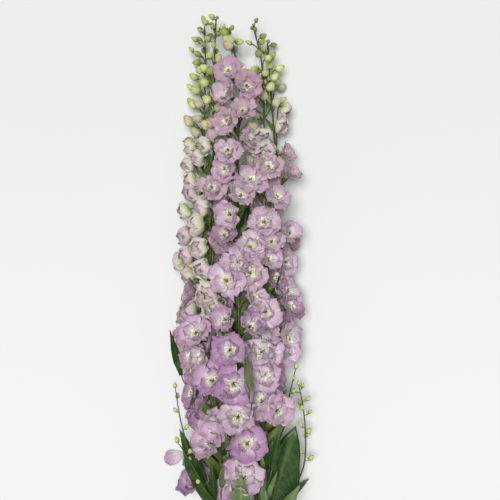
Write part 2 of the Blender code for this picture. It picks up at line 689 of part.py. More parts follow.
def rubber_band(collection):
    """The band round the stems, on the outline that it takes when it is stretched over them."""
    curve = bpy.data.curves.new("tie", "CURVE")
    curve.dimensions = "2D"
    curve.fill_mode = "BOTH"
    curve.extrude = TIE["width"] / 2
    for reach in (tied_reach() + TIE["thickness"], tied_reach()):
        corners = []
        for slot in range(len(STEMS)):
            x, _, z = tie_slot(slot, TIE["y"])
            for step in range(-2, 3):
                around = math.tau * (slot + step / 4) / len(STEMS)
                corners.append((x + reach * math.sin(around), z + reach * math.cos(around)))
        spline = curve.splines.new("POLY")
        spline.points.add(len(corners) - 1)
        spline.use_cyclic_u = True
        for corner, (x, z) in zip(spline.points, corners):
            corner.co = (x, z, 0, 1)
    band = from_curve(curve, "tie", collection)
    band.data.transform(Matrix.Translation((0, TIE["y"], 0)) @ Matrix.Rotation(math.pi / 2, 4, "X"))
    return band


def fallen_sepal(collection):
    """A petal that has dropped beside the bunch and lies on the surface, curled up along its edge."""
    claw, tip = (Vector((*FALLEN_SEPAL[end], 0)) for end in ("claw", "tip"))
    along = tip - claw
    side = Vector((-along.y, along.x, 0)).normalized() * FALLEN_SEPAL["width"] / 2
    bm = bmesh.new()
    bmesh.ops.create_uvsphere(bm, u_segments=16, v_segments=4, radius=1)
    for vert in bm.verts:
        reach = math.hypot(vert.co.x, vert.co.y)
        share = 0.5 + 0.5 * vert.co.x
        width = vert.co.y * (1 - 0.55 * (1 - share)) * 1.15
        rise = FALLEN_SEPAL["cupping"] * reach**2 + FALLEN_SEPAL["thickness"] / 2 * (1 + vert.co.z)
        vert.co = claw + along * share + side * width + Vector((0, 0, rise))
    return placed(bm, "fallen_sepal", collection)


def build_stem(stem, flowers, collection, pieces):
    low, high = seams(stem)
    cut, tip = STEMS[stem]["cut"][1], STEMS[stem]["path"][-1][1]

    bore_cut_end(stem_tube(stem, [cut, TIE_START, *evenly(TIE_END, low - SEAM / 2)], pieces))
    for name in LEAVES:
        if LEAVES[name][0] == stem:
            add_leaf(name, pieces)
    for name in SHOOTS:
        if SHOOTS[name][0] == stem:
            add_shoot(name, pieces)
    joined(stem + "_leafy_stalk", pieces, collection, "leafy_stalk")

    stem_tube(stem, evenly(low + SEAM / 2, high - SEAM / 2), pieces)
    for flower in flowers:
        if flower[0] == stem and flower[1] != "buds":
            add_flower(flower, flowers, pieces)
    joined(stem + "_florets", pieces, collection, "florets")

    stem_tube(stem, evenly(high + SEAM / 2, tip), pieces)
    for owner, kind, radius, key, share, middle, foot, out in flowers:
        if owner == stem and kind == "buds":
            way = (out + Vector((0, 0.5 + 0.4 * chance(key, 9), 0))).normalized()
            add_bud(middle, foot, way, radius, mix(BUD_PEDICEL, share), pieces)
    joined(stem + "_buds", pieces, collection, "buds")


def main():
    for obj in list(bpy.data.objects):
        bpy.data.objects.remove(obj)
    bunch = bpy.data.collections.new("delphinium_bunch")
    pieces = bpy.data.collections.new("pieces")
    bpy.context.scene.collection.children.link(bunch)
    bpy.context.scene.collection.children.link(pieces)
    flowers = all_flowers()
    for stem in STEMS:
        build_stem(stem, flowers, bunch, pieces)
    rubber_band(bunch).data.materials.append(material("rubber"))
    fallen_sepal(bunch).data.materials.append(material("florets"))
    bpy.data.collections.remove(pieces)


main()
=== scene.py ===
import math

import bpy
import numpy as np
from mathutils import Matrix, Vector


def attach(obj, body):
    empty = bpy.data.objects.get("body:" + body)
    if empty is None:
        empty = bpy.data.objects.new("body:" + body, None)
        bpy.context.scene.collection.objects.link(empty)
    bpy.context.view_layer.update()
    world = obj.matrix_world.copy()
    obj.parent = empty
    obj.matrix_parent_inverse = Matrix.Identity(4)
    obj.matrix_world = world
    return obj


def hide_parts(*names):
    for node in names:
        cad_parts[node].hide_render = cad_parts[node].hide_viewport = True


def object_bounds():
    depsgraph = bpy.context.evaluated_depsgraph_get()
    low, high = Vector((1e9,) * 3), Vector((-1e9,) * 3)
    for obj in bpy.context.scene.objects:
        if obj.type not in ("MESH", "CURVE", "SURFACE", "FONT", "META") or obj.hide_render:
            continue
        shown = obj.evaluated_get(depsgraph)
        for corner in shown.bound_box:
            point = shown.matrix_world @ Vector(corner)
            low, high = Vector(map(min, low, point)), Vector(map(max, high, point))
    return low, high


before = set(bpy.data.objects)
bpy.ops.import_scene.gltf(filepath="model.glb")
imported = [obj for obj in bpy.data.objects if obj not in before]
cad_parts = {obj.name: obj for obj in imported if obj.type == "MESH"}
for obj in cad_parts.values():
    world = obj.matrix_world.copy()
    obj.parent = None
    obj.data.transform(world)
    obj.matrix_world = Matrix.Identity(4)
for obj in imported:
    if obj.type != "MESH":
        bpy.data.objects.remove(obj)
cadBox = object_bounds()
print("frame loaded")

# Layout of the bunch, in metres: +Y runs to the flower tips and z = 0 is the surface it lies on.
# Each stem starts at cut, passes its slot in the tie and follows path to its tip. front holds the flowers
# that look up from the bunch, as the place along +Y and the offset across from the stem. Those between two
# stems also have their height over the stem. others grow round the stem from low to high and crowd towards
# hides, and buds towards faces, in degrees from +X towards +Z. vigour is the size of its flowers.
tie = {"y": -0.370, "width": 0.009, "thickness": 0.0012, "clearance": 0.0003, "ring": 0.0067}
tieStart, tieEnd = tie["y"] - tie["width"], tie["y"] + tie["width"]

stems = {
    "leftLow": {
        "node": "left_low", "slot": 3, "turn": 20, "faces": 150, "hides": 200, "vigour": 0.95,
        "cut": (-0.007, -0.460, 0.0056),
        "path": [(-0.030, -0.220, 0.018), (-0.052, -0.060, 0.031), (-0.056, 0.100, 0.032),
                 (-0.053, 0.260, 0.028), (-0.050, 0.400, 0.022), (-0.051, 0.448, 0.019)],
        "florets": {
            "low": -0.196, "high": 0.034, "others": 10,
            "front": [(-0.202, -0.025), (-0.071, -0.012), (-0.021, -0.011), (0.011, -0.021)],
        },
        "cups": {
            "low": 0.060, "high": 0.220, "others": 4,
            "front": [(0.045, -0.016), (0.093, -0.015), (0.123, -0.020), (0.151, -0.023), (0.186, -0.024),
                      (0.211, -0.014), (0.228, -0.014), (0.250, -0.021), (0.276, -0.016)],
        },
        "buds": 21,
    },
    "leftHigh": {
        "node": "left_high", "slot": 4, "turn": 75, "faces": 115, "hides": 175, "vigour": 1.0,
        "cut": (-0.012, -0.452, 0.0150),
        "path": [(-0.022, -0.220, 0.042), (-0.036, -0.060, 0.066), (-0.038, 0.100, 0.068),
                 (-0.037, 0.260, 0.060), (-0.036, 0.400, 0.050), (-0.034, 0.455, 0.046)],
        "florets": {
            "low": -0.110, "high": 0.070, "others": 7,
            "front": [(-0.134, -0.008), (-0.048, 0.000), (0.017, -0.020), (0.216, -0.001),
                      (0.142, 0.014, 0.012), (0.258, 0.014, 0.008)],
        },
        "cups": {
            "low": 0.080, "high": 0.240, "others": 3,
            "front": [(0.050, 0.003), (0.069, -0.007), (0.104, -0.014), (0.135, -0.018), (0.168, -0.020),
                      (0.190, -0.016), (0.259, -0.021), (0.275, -0.012)],
        },
        "buds": 19,
    },
    "middle": {
        "node": "middle", "slot": 0, "turn": 140, "faces": 130, "hides": 270, "vigour": 1.0,
        "cut": (0.000, -0.455, 0.0220),
        "path": [(-0.002, -0.220, 0.056), (-0.001, -0.060, 0.076), (-0.002, 0.100, 0.080),
                 (-0.003, 0.260, 0.072), (-0.001, 0.370, 0.060), (-0.016, 0.438, 0.053)],
        "florets": {
            "low": -0.190, "high": 0.330, "others": 3,
            "front": [(-0.182, 0.004), (-0.133, 0.011), (-0.096, -0.001), (-0.051, -0.007), (-0.005, -0.011),
                      (0.026, 0.014), (0.036, -0.017), (0.066, 0.018), (0.089, -0.015), (0.100, 0.015),
                      (0.115, 0.000), (0.135, 0.016), (0.150, -0.019), (0.179, -0.009), (0.204, 0.003),
                      (0.225, 0.016), (0.242, -0.020), (0.266, -0.012), (0.308, -0.015), (0.319, 0.005),
                      (0.344, -0.022), (0.355, 0.009), (0.377, -0.018),
                      (0.000, -0.017, -0.008), (0.057, -0.017, -0.010), (0.102, -0.018, -0.012),
                      (0.202, -0.017, -0.008), (0.292, -0.019, 0.000), (-0.012, 0.018, -0.012),
                      (0.192, 0.017, -0.008), (0.283, 0.016, -0.004)],
        },
        "cups": {"low": 0.377, "high": 0.377, "others": 0, "front": []},
        "buds": 9,
    },
    "rightHigh": {
        "node": "right_high", "slot": 1, "turn": 210, "faces": 62, "hides": 320, "vigour": 1.0,
        "cut": (0.012, -0.458, 0.0150),
        "path": [(0.024, -0.220, 0.040), (0.034, -0.060, 0.062), (0.035, 0.100, 0.064),
                 (0.034, 0.260, 0.056), (0.031, 0.390, 0.046), (0.018, 0.452, 0.040)],
        "florets": {
            "low": -0.100, "high": 0.220, "others": 8,
            "front": [(-0.090, 0.016), (-0.079, -0.014), (-0.039, -0.010), (-0.009, -0.014), (0.046, -0.001),
                      (0.117, 0.002), (0.142, 0.008), (0.169, -0.002), (0.204, 0.015), (0.245, 0.005),
                      (0.274, -0.020),
                      (0.080, -0.016, -0.014)],
        },
        "cups": {
            "low": 0.262, "high": 0.262, "others": 1,
            "front": [(0.255, -0.013), (0.269, 0.000), (0.290, -0.009)],
        },
        "buds": 18,
    },
    "rightLow": {
        "node": "right_low", "slot": 2, "turn": 300, "faces": 75, "hides": 250, "vigour": 0.86,
        "cut": (0.007, -0.450, 0.0056),
        "path": [(0.034, -0.220, 0.018), (0.054, -0.060, 0.030), (0.057, 0.100, 0.031),
                 (0.051, 0.260, 0.027), (0.043, 0.370, 0.022), (0.039, 0.428, 0.019)],
        "florets": {
            "low": -0.012, "high": 0.240, "others": 6,
            "front": [(-0.010, -0.004), (0.007, 0.004), (0.049, 0.010), (0.073, 0.002), (0.114, -0.001),
                      (0.154, 0.007), (0.235, 0.015), (0.268, 0.004),
                      (0.028, -0.013, 0.016), (0.095, -0.014, 0.014), (0.193, -0.010, 0.016)],
        },
        "cups": {
            "low": 0.262, "high": 0.262, "others": 1,
            "front": [(0.308, 0.005), (0.330, 0.015)],
        },
        "buds": 10,
    },
}
stemShape = {
    "cutRadius": 0.0041, "tipRadius": 0.0010, "step": 0.008, "hollowWall": 0.0013, "hollowDepth": 0.012,
}
placing = {
    "apart": 0.0010, "freeReach": 0.200, "bendsAfter": 0.72, "goldenAngle": 137.5, "closingUp": 0.94,
    "crowding": {"florets": 0.55, "cups": 0.55, "buds": 0.72}, "scatter": 0.004, "reachVaries": 0.15,
    "floretReach": 0.027, "floretRise": 0.020, "floretRoom": 0.009, "frontRise": 0.45, "frontLift": 0.9,
    "firstBud": 0.034, "pastTip": 0.006, "budReach": (0.021, 0.008), "budRise": (0.012, 0.006),
    "budStretch": 1.35,
}
sizes = {"florets": (0.0262, 0.0198), "cups": (0.0135, 0.0105), "buds": (0.0074, 0.0034), "budsLate": 1.8}
lean = {"florets": 14, "cups": -22, "varies": 20, "sway": 0.36}  # degrees up the stem, and a share across it


def chance(first, second, third=0.0):
    value = math.sin(12.9898 * first + 78.233 * second + 37.719 * third + 1.7) * 43758.5453
    return 2 * (value - math.floor(value)) - 1  # from -1 to 1, the same on each run


def mix(pair, share):
    return pair[0] + (pair[1] - pair[0]) * share


def eased(value, start, limit):
    if value <= start:
        return value
    spare = limit - start
    return start + spare * (1 - math.exp((start - value) / spare))


def stemRadius(stem, y):
    low, high = stems[stem]["cut"][1], stems[stem]["path"][-1][1]
    return mix((stemShape["cutRadius"], stemShape["tipRadius"]), (y - low) / (high - low))


def tieSlot(slot, y):
    reach = max(stemRadius(stem, tieStart) for stem in stems) + tie["clearance"]
    around = math.tau * slot / len(stems)
    middle = tie["thickness"] + reach + tie["ring"] * math.cos(math.pi / len(stems))
    return (tie["ring"] * math.sin(around), y, middle + tie["ring"] * math.cos(around))


def cornersRound(path, i):  # both ends of a path's stretch, with the corners before and after them
    return [Vector(path[min(max(j, 0), len(path) - 1)]) for j in range(i - 1, i + 3)]


def curved(start, end, leaving, arriving, t):  # a share of the way along a curve with those paces at its ends
    point = start * (2 * t**3 - 3 * t**2 + 1) + end * (3 * t**2 - 2 * t**3)
    return point + (leaving * (t**3 - 2 * t**2 + t) + arriving * (t**3 - t**2))


def onPath(path, y):
    y = min(max(y, path[0][1]), path[-1][1])
    i = max(j for j in range(len(path) - 1) if path[j][1] <= y)
    before, start, end, after = cornersRound(path, i)
    span = end.y - start.y
    leaving = (end - before) * (span / (end.y - before.y))
    arriving = (after - start) * (span / (after.y - start.y))
    point = curved(start, end, leaving, arriving, (y - start.y) / span)
    return Vector((point.x, y, point.z))


def onStem(stem, y):
    plan = stems[stem]
    tied = [tieSlot(plan["slot"], place) for place in (tieStart, tieEnd)]
    return onPath([plan["cut"], *tied, *plan["path"]], y)


def outward(start, end):  # the way between two points, without its part along the bunch
    return Vector((end.x - start.x, 0, end.z - start.z))


def neighbours(stem, y):  # the way to each other stem, and half the distance
    centre = onStem(stem, y)
    for other in stems:
        if other != stem:
            across = outward(centre, onStem(other, y))
            yield across.normalized(), (across.length - placing["apart"]) / 2


def bentClear(stem, point):  # a leaf's point, bent clear of the other stems' room and of the surface
    centre = onStem(stem, point.y)
    across = outward(centre, point)
    reach = across.length
    if reach == 0:
        return point
    across /= reach
    limit = placing["freeReach"]
    if across.z < 0:
        limit = min(limit, (centre.z - placing["apart"] / 2) / -across.z)
    for way, half in neighbours(stem, point.y):
        if across.dot(way) > 0:
            limit = min(limit, half / across.dot(way))
    bent = centre + across * eased(reach, placing["bendsAfter"] * limit, limit)
    return Vector((bent.x, point.y, bent.z))


def keptInRoom(stem, point, radius):
    centre = onStem(stem, point.y)
    for _ in range(6):  # a push away from one stem can bring it nearer to the next
        for way, half in neighbours(stem, point.y):
            over = (point - centre).dot(way) + radius - half
            if over > 0:
                point = point - way * over
        point.z = max(point.z, radius + placing["apart"])
    return point


def lastFlower(stem):
    plan = stems[stem]
    return max([plan["cups"]["high"], *(y for kind in ("florets", "cups") for y, *_ in plan[kind]["front"])])


def frontPlaces(stem, kind):
    front, low = stems[stem][kind]["front"], stems[stem][kind]["low"]
    top = max(place[0] for place in front if len(place) == 2)
    reach = placing["floretReach"]
    for index, (y, across, *height) in enumerate(front):
        share = min(max(0, y - low) / (top - low), 1)
        if height:
            middle = onStem(stem, y) + Vector((across, 0, height[0]))
        else:
            rise = math.sqrt(max(reach**2 - across**2, (placing["frontRise"] * reach) ** 2))
            middle = keptInRoom(stem, onStem(stem, y) + Vector((across, 0, rise)), placing["floretRoom"])
        foot = onStem(stem, y - placing["floretRise"])
        face = (outward(foot, middle).normalized() + Vector((0, 0, placing["frontLift"]))).normalized()
        yield True, stems[stem]["turn"] + index / 3, share, middle, foot, face


def spiralPlaces(stem, kind, count, low, high, side, needs):
    for index in range(count):
        share = index / max(count - 1, 1)
        key = stems[stem]["turn"] + 50 + index / 7
        angle = math.radians(stems[stem]["turn"] + placing["goldenAngle"] * index)
        angle -= placing["crowding"][kind] * math.sin(angle - math.radians(side))
        reach, rise, room = (mix(pair, share) for pair in needs)
        y = mix((low, high), share ** placing["closingUp"]) + placing["scatter"] * chance(key, 2)
        reach *= 1 + placing["reachVaries"] * chance(key, 3)
        middle = onStem(stem, y) + Vector((math.cos(angle), 0, math.sin(angle))) * reach
        middle = keptInRoom(stem, Vector((middle.x, y, middle.z)), room)
        foot = onStem(stem, y - rise)
        yield False, key, share, middle, foot, outward(foot, middle).normalized()


def flowerPlaces(stem, kind):
    plan = stems[stem]
    if kind == "buds":
        low, high = lastFlower(stem) + placing["firstBud"], plan["path"][-1][1] + placing["pastTip"]
        needs = (placing["budReach"], placing["budRise"], [placing["budStretch"] * r for r in sizes["buds"]])
        yield from spiralPlaces(stem, kind, plan[kind], low, high, plan["faces"], needs)
    else:
        row = plan[kind]
        needs = ([placing["floretReach"]] * 2, [placing["floretRise"]] * 2, [placing["floretRoom"]] * 2)
        if row["front"]:
            yield from frontPlaces(stem, kind)
        yield from spiralPlaces(stem, kind, row["others"], row["low"], row["high"], plan["hides"], needs)


def radiusOf(stem, kind, share):
    if kind == "buds":
        return mix(sizes[kind], share ** sizes["budsLate"])
    return mix(sizes[kind], share) * stems[stem]["vigour"]


flowers = [
    {
        "stem": stem, "kind": kind, "radius": radiusOf(stem, kind, share), "key": key, "share": share,
        "middle": middle, "foot": foot, "face": face, "inFront": inFront,
    }
    for stem in stems
    for kind in ("florets", "cups", "buds")
    for inFront, key, share, middle, foot, face in flowerPlaces(stem, kind)
]
print("flowers placed:", len(flowers))


def pedicelOf(flower):
    return [flower["foot"].lerp(flower["middle"], i / 8) for i in range(9)]


def roomRound(flower):  # the planes between a flower and its neighbours, as way and distance
    middle = flower["middle"]
    planes = []
    for other in flowers:
        if other is flower or (other["middle"] - middle).length > flower["radius"] + other["radius"]:
            continue
        here, there = middle, other["middle"]
        if other["stem"] != flower["stem"]:
            pairs = ((a, b) for a in pedicelOf(flower) for b in pedicelOf(other))
            here, there = min(pairs, key=lambda pair: (pair[0] - pair[1]).length)
        apart = (there - here).length
        way = (there - here) / apart
        planes.append((way, (here - middle).dot(way) + apart / 2))
    return planes


def facing(face, key, degrees):
    upStem = Vector((0, 1, 0))
    tilt = math.radians(degrees + lean["varies"] * chance(key, 6))
    sway = face.cross(upStem) * lean["sway"] * chance(key, 7)
    face = (face * math.cos(tilt) + upStem * math.sin(tilt) + sway).normalized()
    side = upStem.cross(face).normalized()
    turn = Matrix((side, face.cross(side), face)).transposed()
    return turn @ Matrix.Rotation(math.pi * chance(key, 8), 3, "Z")


# Material helpers


def hexColour(text):
    channels = [int(text[i:i + 2], 16) / 255 for i in (1, 3, 5)]
    return (*(c / 12.92 if c <= 0.04045 else ((c + 0.055) / 1.055) ** 2.4 for c in channels), 1)


def addNode(tree, kind, values=None, links=None, **settings):
    node = tree.nodes.new(kind)
    for name, value in settings.items():
        setattr(node, name, value)
    for name, value in (values or {}).items():
        node.inputs[name].default_value = value
    for name, source in (links or {}).items():
        tree.links.new(source, node.inputs[name])
    return node


def newMaterial(name, roughness, ior, **values):
    made = bpy.data.materials.new(name)
    made.use_nodes = True
    inputs = made.node_tree.nodes["Principled BSDF"].inputs
    for socket, value in {"Roughness": roughness, "IOR": ior, **values}.items():
        inputs[socket].default_value = value
    return made, made.node_tree


def covered(made, colour, *relief):  # relief is a height, its strength and its depth in metres
    tree = made.node_tree
    inputs = tree.nodes["Principled BSDF"].inputs
    tree.links.new(colour, inputs["Base Color"])
    if relief:
        height, strength, depth = relief
        bump = addNode(tree, "ShaderNodeBump", {"Strength": strength, "Distance": depth}, {"Height": height})
        tree.links.new(bump.outputs["Normal"], inputs["Normal"])
    return made


def colourRamp(tree, factor, stops):
    ramp = addNode(tree, "ShaderNodeValToRGB", links={"Fac": factor})
    elements = ramp.color_ramp.elements
    while len(elements) < len(stops):
        elements.new(0.5)
    for element, (place, colour) in zip(elements, stops):
        element.position = place
        element.color = hexColour(colour)
    return ramp.outputs["Color"]


def blendColours(tree, factor, first, second):
    node = addNode(tree, "ShaderNodeMix", links={0: factor}, data_type="RGBA")
    for socket, colour in ((6, first), (7, second)):
        if isinstance(colour, str):
            node.inputs[socket].default_value = hexColour(colour)
        else:
            tree.links.new(colour, node.inputs[socket])
    return node.outputs[2]


def tinted(tree, colour, mask, share, tint):  # the colour, turned by that share to the tint where the mask is
    factor = addNode(tree, "ShaderNodeMath", {1: share}, {0: mask}, operation="MULTIPLY").outputs[0]
    return blendColours(tree, factor, colour, tint)


def smoothStep(tree, value, low, high):
    return addNode(
        tree, "ShaderNodeMapRange", {"From Min": low, "From Max": high}, {"Value": value},
        interpolation_type="SMOOTHSTEP",
    ).outputs["Result"]


def surfacePlace(tree):  # on a petal or leaf: the UV place, the share from base to tip, how near a side edge
    place = addNode(tree, "ShaderNodeUVMap", uv_map="UVMap").outputs["UV"]
    parts = addNode(tree, "ShaderNodeSeparateXYZ", links={"Vector": place})
    offCentre = addNode(tree, "ShaderNodeMath", {1: 0.5}, {0: parts.outputs["X"]}, operation="SUBTRACT")
    distance = addNode(tree, "ShaderNodeMath", links={0: offCentre.outputs[0]}, operation="ABSOLUTE")
    side = addNode(tree, "ShaderNodeMath", {1: 2.0}, {0: distance.outputs[0]}, operation="MULTIPLY")
    return place, parts.outputs["Y"], side.outputs[0]


def stretchedNoise(tree, place, scale):
    stretched = addNode(tree, "ShaderNodeMapping", {"Scale": scale}, {"Vector": place}).outputs["Vector"]
    return addNode(
        tree, "ShaderNodeTexNoise", {"Scale": 1.0, "Detail": 2.0}, {"Vector": stretched}).outputs["Fac"]


def streaks(tree, uv, across, along, sharpness):  # fine lines that run from a petal's base to its tip
    lines = stretchedNoise(tree, uv, (across, along, 1))
    return smoothStep(tree, lines, 0.5 - sharpness, 0.5 + sharpness)


def grainOn(tree, millimetres, detail=2.0):  # noise on the bunch's own coordinates, at a size in millimetres
    place = addNode(tree, "ShaderNodeTexCoord").outputs["Object"]
    return addNode(
        tree, "ShaderNodeTexNoise", {"Scale": 1000 / millimetres, "Detail": detail}, {"Vector": place}
    ).outputs["Fac"]


def petalMaterial(name, palette, edgeTintAndShade):
    # A fresh delphinium sepal: thin moist tissue with a velvety skin, so soft, matt and a bit see-through.
    made, tree = newMaterial(name, 0.55, 1.42, **{
        "Sheen Weight": 0.25, "Sheen Roughness": 0.4,
        "Subsurface Weight": 0.20, "Subsurface Scale": 0.0020, "Subsurface Radius": (1.0, 0.7, 0.9),
    })
    uv, along, side = surfacePlace(tree)
    # The tone attribute holds a piece's depth of colour; for the florets it has painted light and painted
    # shade in it.
    tone = addNode(tree, "ShaderNodeAttribute", attribute_name="tone").outputs["Fac"]
    colour = blendColours(
        tree, tone, colourRamp(tree, along, palette["pale"]), colourRamp(tree, along, palette["deep"]))
    blush = addNode(tree, "ShaderNodeAttribute", attribute_name="blush").outputs["Fac"]
    colour = blendColours(tree, blush, colour, palette["faded"])
    mottled = smoothStep(tree, grainOn(tree, 9), 0.35, 0.7)  # patches about a third of a sepal wide
    colour = tinted(tree, colour, mottled, 0.35, palette["patch"])
    veins = streaks(tree, uv, 15, 1.2, 0.14)  # every 2 mm or so, coarser than life, fanning with the sepal
    colour = tinted(tree, colour, veins, 0.26, palette["vein"])
    # Near the side edges and the tip each sepal turns towards its rim colour: on the outsides a green or
    # olive edge of its own, on the lilac face partly its own edge colour and partly painted shadow lines
    # where sepals overlap.
    nearEdge = addNode(tree, "ShaderNodeMath", links={0: side, 1: along}, operation="MAXIMUM").outputs[0]
    colour = tinted(tree, colour, smoothStep(tree, nearEdge, 0.90, 1.0), edgeTintAndShade, palette["rimAndShadowLine"])
    return covered(made, colour, veins, 0.5, 0.0006)


sepalFront = petalMaterial("sepal velvety lilac", {
    "pale": [(0.0, "#DCD8BA"), (0.22, "#F6EFEC"), (0.56, "#EBD6E3"), (1.0, "#D2AECA")],
    "deep": [(0.0, "#D4CCB0"), (0.22, "#E4D3DA"), (0.50, "#BE94BA"), (1.0, "#99689F")],
    "patch": "#B086AC", "vein": "#83597F", "rimAndShadowLine": "#9C7C88", "faded": "#CEB0B4",
}, 0.25)
# The outside of a sepal is duller, with green along its rib, because that is what covered the bud.
sepalBack = petalMaterial("sepal dull outside", {
    "pale": [(0.0, "#9AA267"), (0.18, "#C4B8B2"), (0.6, "#C7AFBD"), (1.0, "#AA9890")],
    "deep": [(0.0, "#8C965C"), (0.18, "#B89FAF"), (0.6, "#AE86AD"), (1.0, "#957A8D")],
    "patch": "#A98AAB", "vein": "#776377", "rimAndShadowLine": "#8F8A66", "faded": "#B39C96",
}, 0.6)
cupFront = petalMaterial("half-open sepal pale lilac", {
    "pale": [(0.0, "#C4CC90"), (0.3, "#E6E0CB"), (0.7, "#E6D5DA"), (1.0, "#DAC6C8")],
    "deep": [(0.0, "#B8C184"), (0.3, "#DCC9CE"), (0.7, "#CDA9C6"), (1.0, "#BA96B2")],
    "patch": "#D3B2CB", "vein": "#A68AA0", "rimAndShadowLine": "#B5B083", "faded": "#DACFC0",
}, 0.5)
cupBack = petalMaterial("half-open sepal green outside", {
    "pale": [(0.0, "#7F9C38"), (0.38, "#C4D67A"), (0.64, "#F2ECDC"), (0.88, "#EACFDC"), (1.0, "#8F9C4E")],
    "deep": [(0.0, "#86A044"), (0.30, "#C8D08E"), (0.56, "#E8D0D8"), (0.88, "#D2AACC"), (1.0, "#858848")],
    "patch": "#DAB6D0", "vein": "#A6B07C", "rimAndShadowLine": "#A9B070", "faded": "#E0E4AE",
}, 0.4)


def beeMaterial():
    # The small hairy petals in the throat: waxy cream, with greenish bases.
    made, tree = newMaterial("bee petal waxy cream", 0.5, 1.42, **{"Sheen Weight": 0.3})
    uv, along = surfacePlace(tree)[:2]
    colour = colourRamp(
        tree, along, [(0.0, "#A9A860"), (0.25, "#E6E0B4"), (0.6, "#F8F4E2"), (1.0, "#F6F0EA")])
    hairs = streaks(tree, uv, 22, 3.0, 0.1)
    return covered(made, tinted(tree, colour, hairs, 0.2, "#CFC48E"), hairs, 0.4, 0.0003)


def antherMaterial():
    # Stamens: dark olive anthers dusted with dull pollen.
    made, tree = newMaterial("anther dark olive", 0.8, 1.45)
    dust = smoothStep(tree, grainOn(tree, 0.7), 0.45, 0.65)  # pollen clumps, drawn coarser than life
    return covered(made, blendColours(tree, dust, "#2A2B1C", "#5B5A34"))


def stalkMaterial(name, dark, light):
    # A fresh stem and the bracts on it: waxy green skin with fine lengthwise ridges.
    made, tree = newMaterial(name, 0.48, 1.45, **{"Coat Weight": 0.1})
    place = addNode(tree, "ShaderNodeTexCoord").outputs["Object"]
    ridges = stretchedNoise(tree, place, (900, 25, 900))  # about 1 mm apart, along the stem
    patches = smoothStep(tree, grainOn(tree, 22), 0.35, 0.7)
    colour = tinted(tree, blendColours(tree, ridges, dark, light), patches, 0.4, "#4C4C2A")
    return covered(made, colour, ridges, 0.35, 0.0005)


def budMaterial():
    # A closed bud: smooth, waxy and yellow green, flushed with lilac once it is about to open.
    made, tree = newMaterial("bud waxy lime", 0.5, 1.42, **{
        "Subsurface Weight": 0.25, "Subsurface Scale": 0.003, "Subsurface Radius": (0.8, 1.0, 0.3),
    })
    uv, along = surfacePlace(tree)[:2]
    tone = addNode(tree, "ShaderNodeAttribute", attribute_name="tone").outputs["Fac"]
    blush = addNode(tree, "ShaderNodeAttribute", attribute_name="blush").outputs["Fac"]
    # Along a young bud: green at the base and tip, and a pale cream band round its middle that is a painted
    # highlight.
    youngWithPaintedHighlight = colourRamp(tree, along, [
        (0.0, "#587224"), (0.26, "#A3BB4C"), (0.5, "#F2F6B4"), (0.80, "#DCE68A"), (1.0, "#46541E")])
    dark = colourRamp(tree, along, [(0.0, "#4F6126"), (0.4, "#7F9040"), (0.8, "#A3AD62"), (1.0, "#454C2A")])
    flushed = smoothStep(tree, grainOn(tree, 5), 0.3, 0.65)  # flushes a few millimetres wide
    flush = addNode(tree, "ShaderNodeMath", links={0: flushed, 1: blush}, operation="MULTIPLY").outputs[0]
    colour = blendColours(tree, flush, blendColours(tree, tone, youngWithPaintedHighlight, dark), "#C6A4B8")
    ribs = streaks(tree, uv, 30, 1.5, 0.12)
    return covered(made, tinted(tree, colour, ribs, 0.25, "#6E8238"), ribs, 0.25, 0.0004)


def leafMaterial(name, blade, dark, rib, roughness):
    made, tree = newMaterial(name, roughness, 1.45, **{"Subsurface Weight": 0.08, "Subsurface Scale": 0.002})
    along, side = surfacePlace(tree)[1:]
    mottled = smoothStep(tree, grainOn(tree, 12), 0.3, 0.7)  # light and dark patches about 12 mm wide
    swept = addNode(tree, "ShaderNodeMath", {1: 0.35}, {0: side}, operation="MULTIPLY").outputs[0]
    slant = addNode(tree, "ShaderNodeMath", links={0: along, 1: swept}, operation="SUBTRACT").outputs[0]
    phase = addNode(tree, "ShaderNodeMath", {1: 75.0}, {0: slant}, operation="MULTIPLY").outputs[0]
    waves = addNode(tree, "ShaderNodeMath", links={0: phase}, operation="SINE").outputs[0]
    veins = smoothStep(tree, waves, 0.86, 1.0)  # side veins every 8 mm or so
    veins = addNode(tree, "ShaderNodeMath", {1: 0.4}, {0: veins}, operation="MULTIPLY").outputs[0]
    midrib = smoothStep(tree, side, 0.10, 0.03)
    lines = addNode(tree, "ShaderNodeMath", links={0: midrib, 1: veins}, operation="MAXIMUM").outputs[0]
    flesh = addNode(tree, "ShaderNodeMath", {0: 1.0}, {1: lines}, operation="SUBTRACT").outputs[0]
    colour = tinted(tree, blendColours(tree, mottled, blade, dark), lines, 0.38, rib)
    return covered(made, colour, flesh, 0.5, 0.0006)


def bandMaterial():
    # A natural rubber band: tan, matt, a little see-through, with talc left from packing.
    made, tree = newMaterial(
        "rubber band tan", 0.7, 1.52, **{"Subsurface Weight": 0.1, "Subsurface Scale": 0.001})
    dust = smoothStep(tree, grainOn(tree, 1.5, 4.0), 0.45, 0.75)
    return covered(made, tinted(tree, "#BF9360", dust, 0.4, "#DCC6A6"), dust, 0.3, 0.0002)


beePetal = beeMaterial()
anther = antherMaterial()
stalkGreen = stalkMaterial("stem waxy olive green", "#27340F", "#586B2E")
bractGreen = stalkMaterial("bract waxy mid green", "#2E4114", "#7C9244")
budLime = budMaterial()
# The upper side of a leaf is dark and a little waxy; its underside is paler and matt.
leafFront = leafMaterial("leaf dark waxy upper side", "#345620", "#213B14", "#67823F", 0.42)
leafBack = leafMaterial("leaf pale matt underside", "#6B8450", "#58703D", "#8FA56C", 0.6)
bractOlive = leafMaterial("bract dull olive", "#6E7850", "#58613C", "#8C9468", 0.6)
rubberBand = bandMaterial()
print("materials made")


# Mesh helpers


def chosen(*objects):  # the only ones selected, with the first of them active
    bpy.ops.object.select_all(action="DESELECT")
    for obj in objects:
        obj.select_set(True)
    bpy.context.view_layer.objects.active = objects[0]


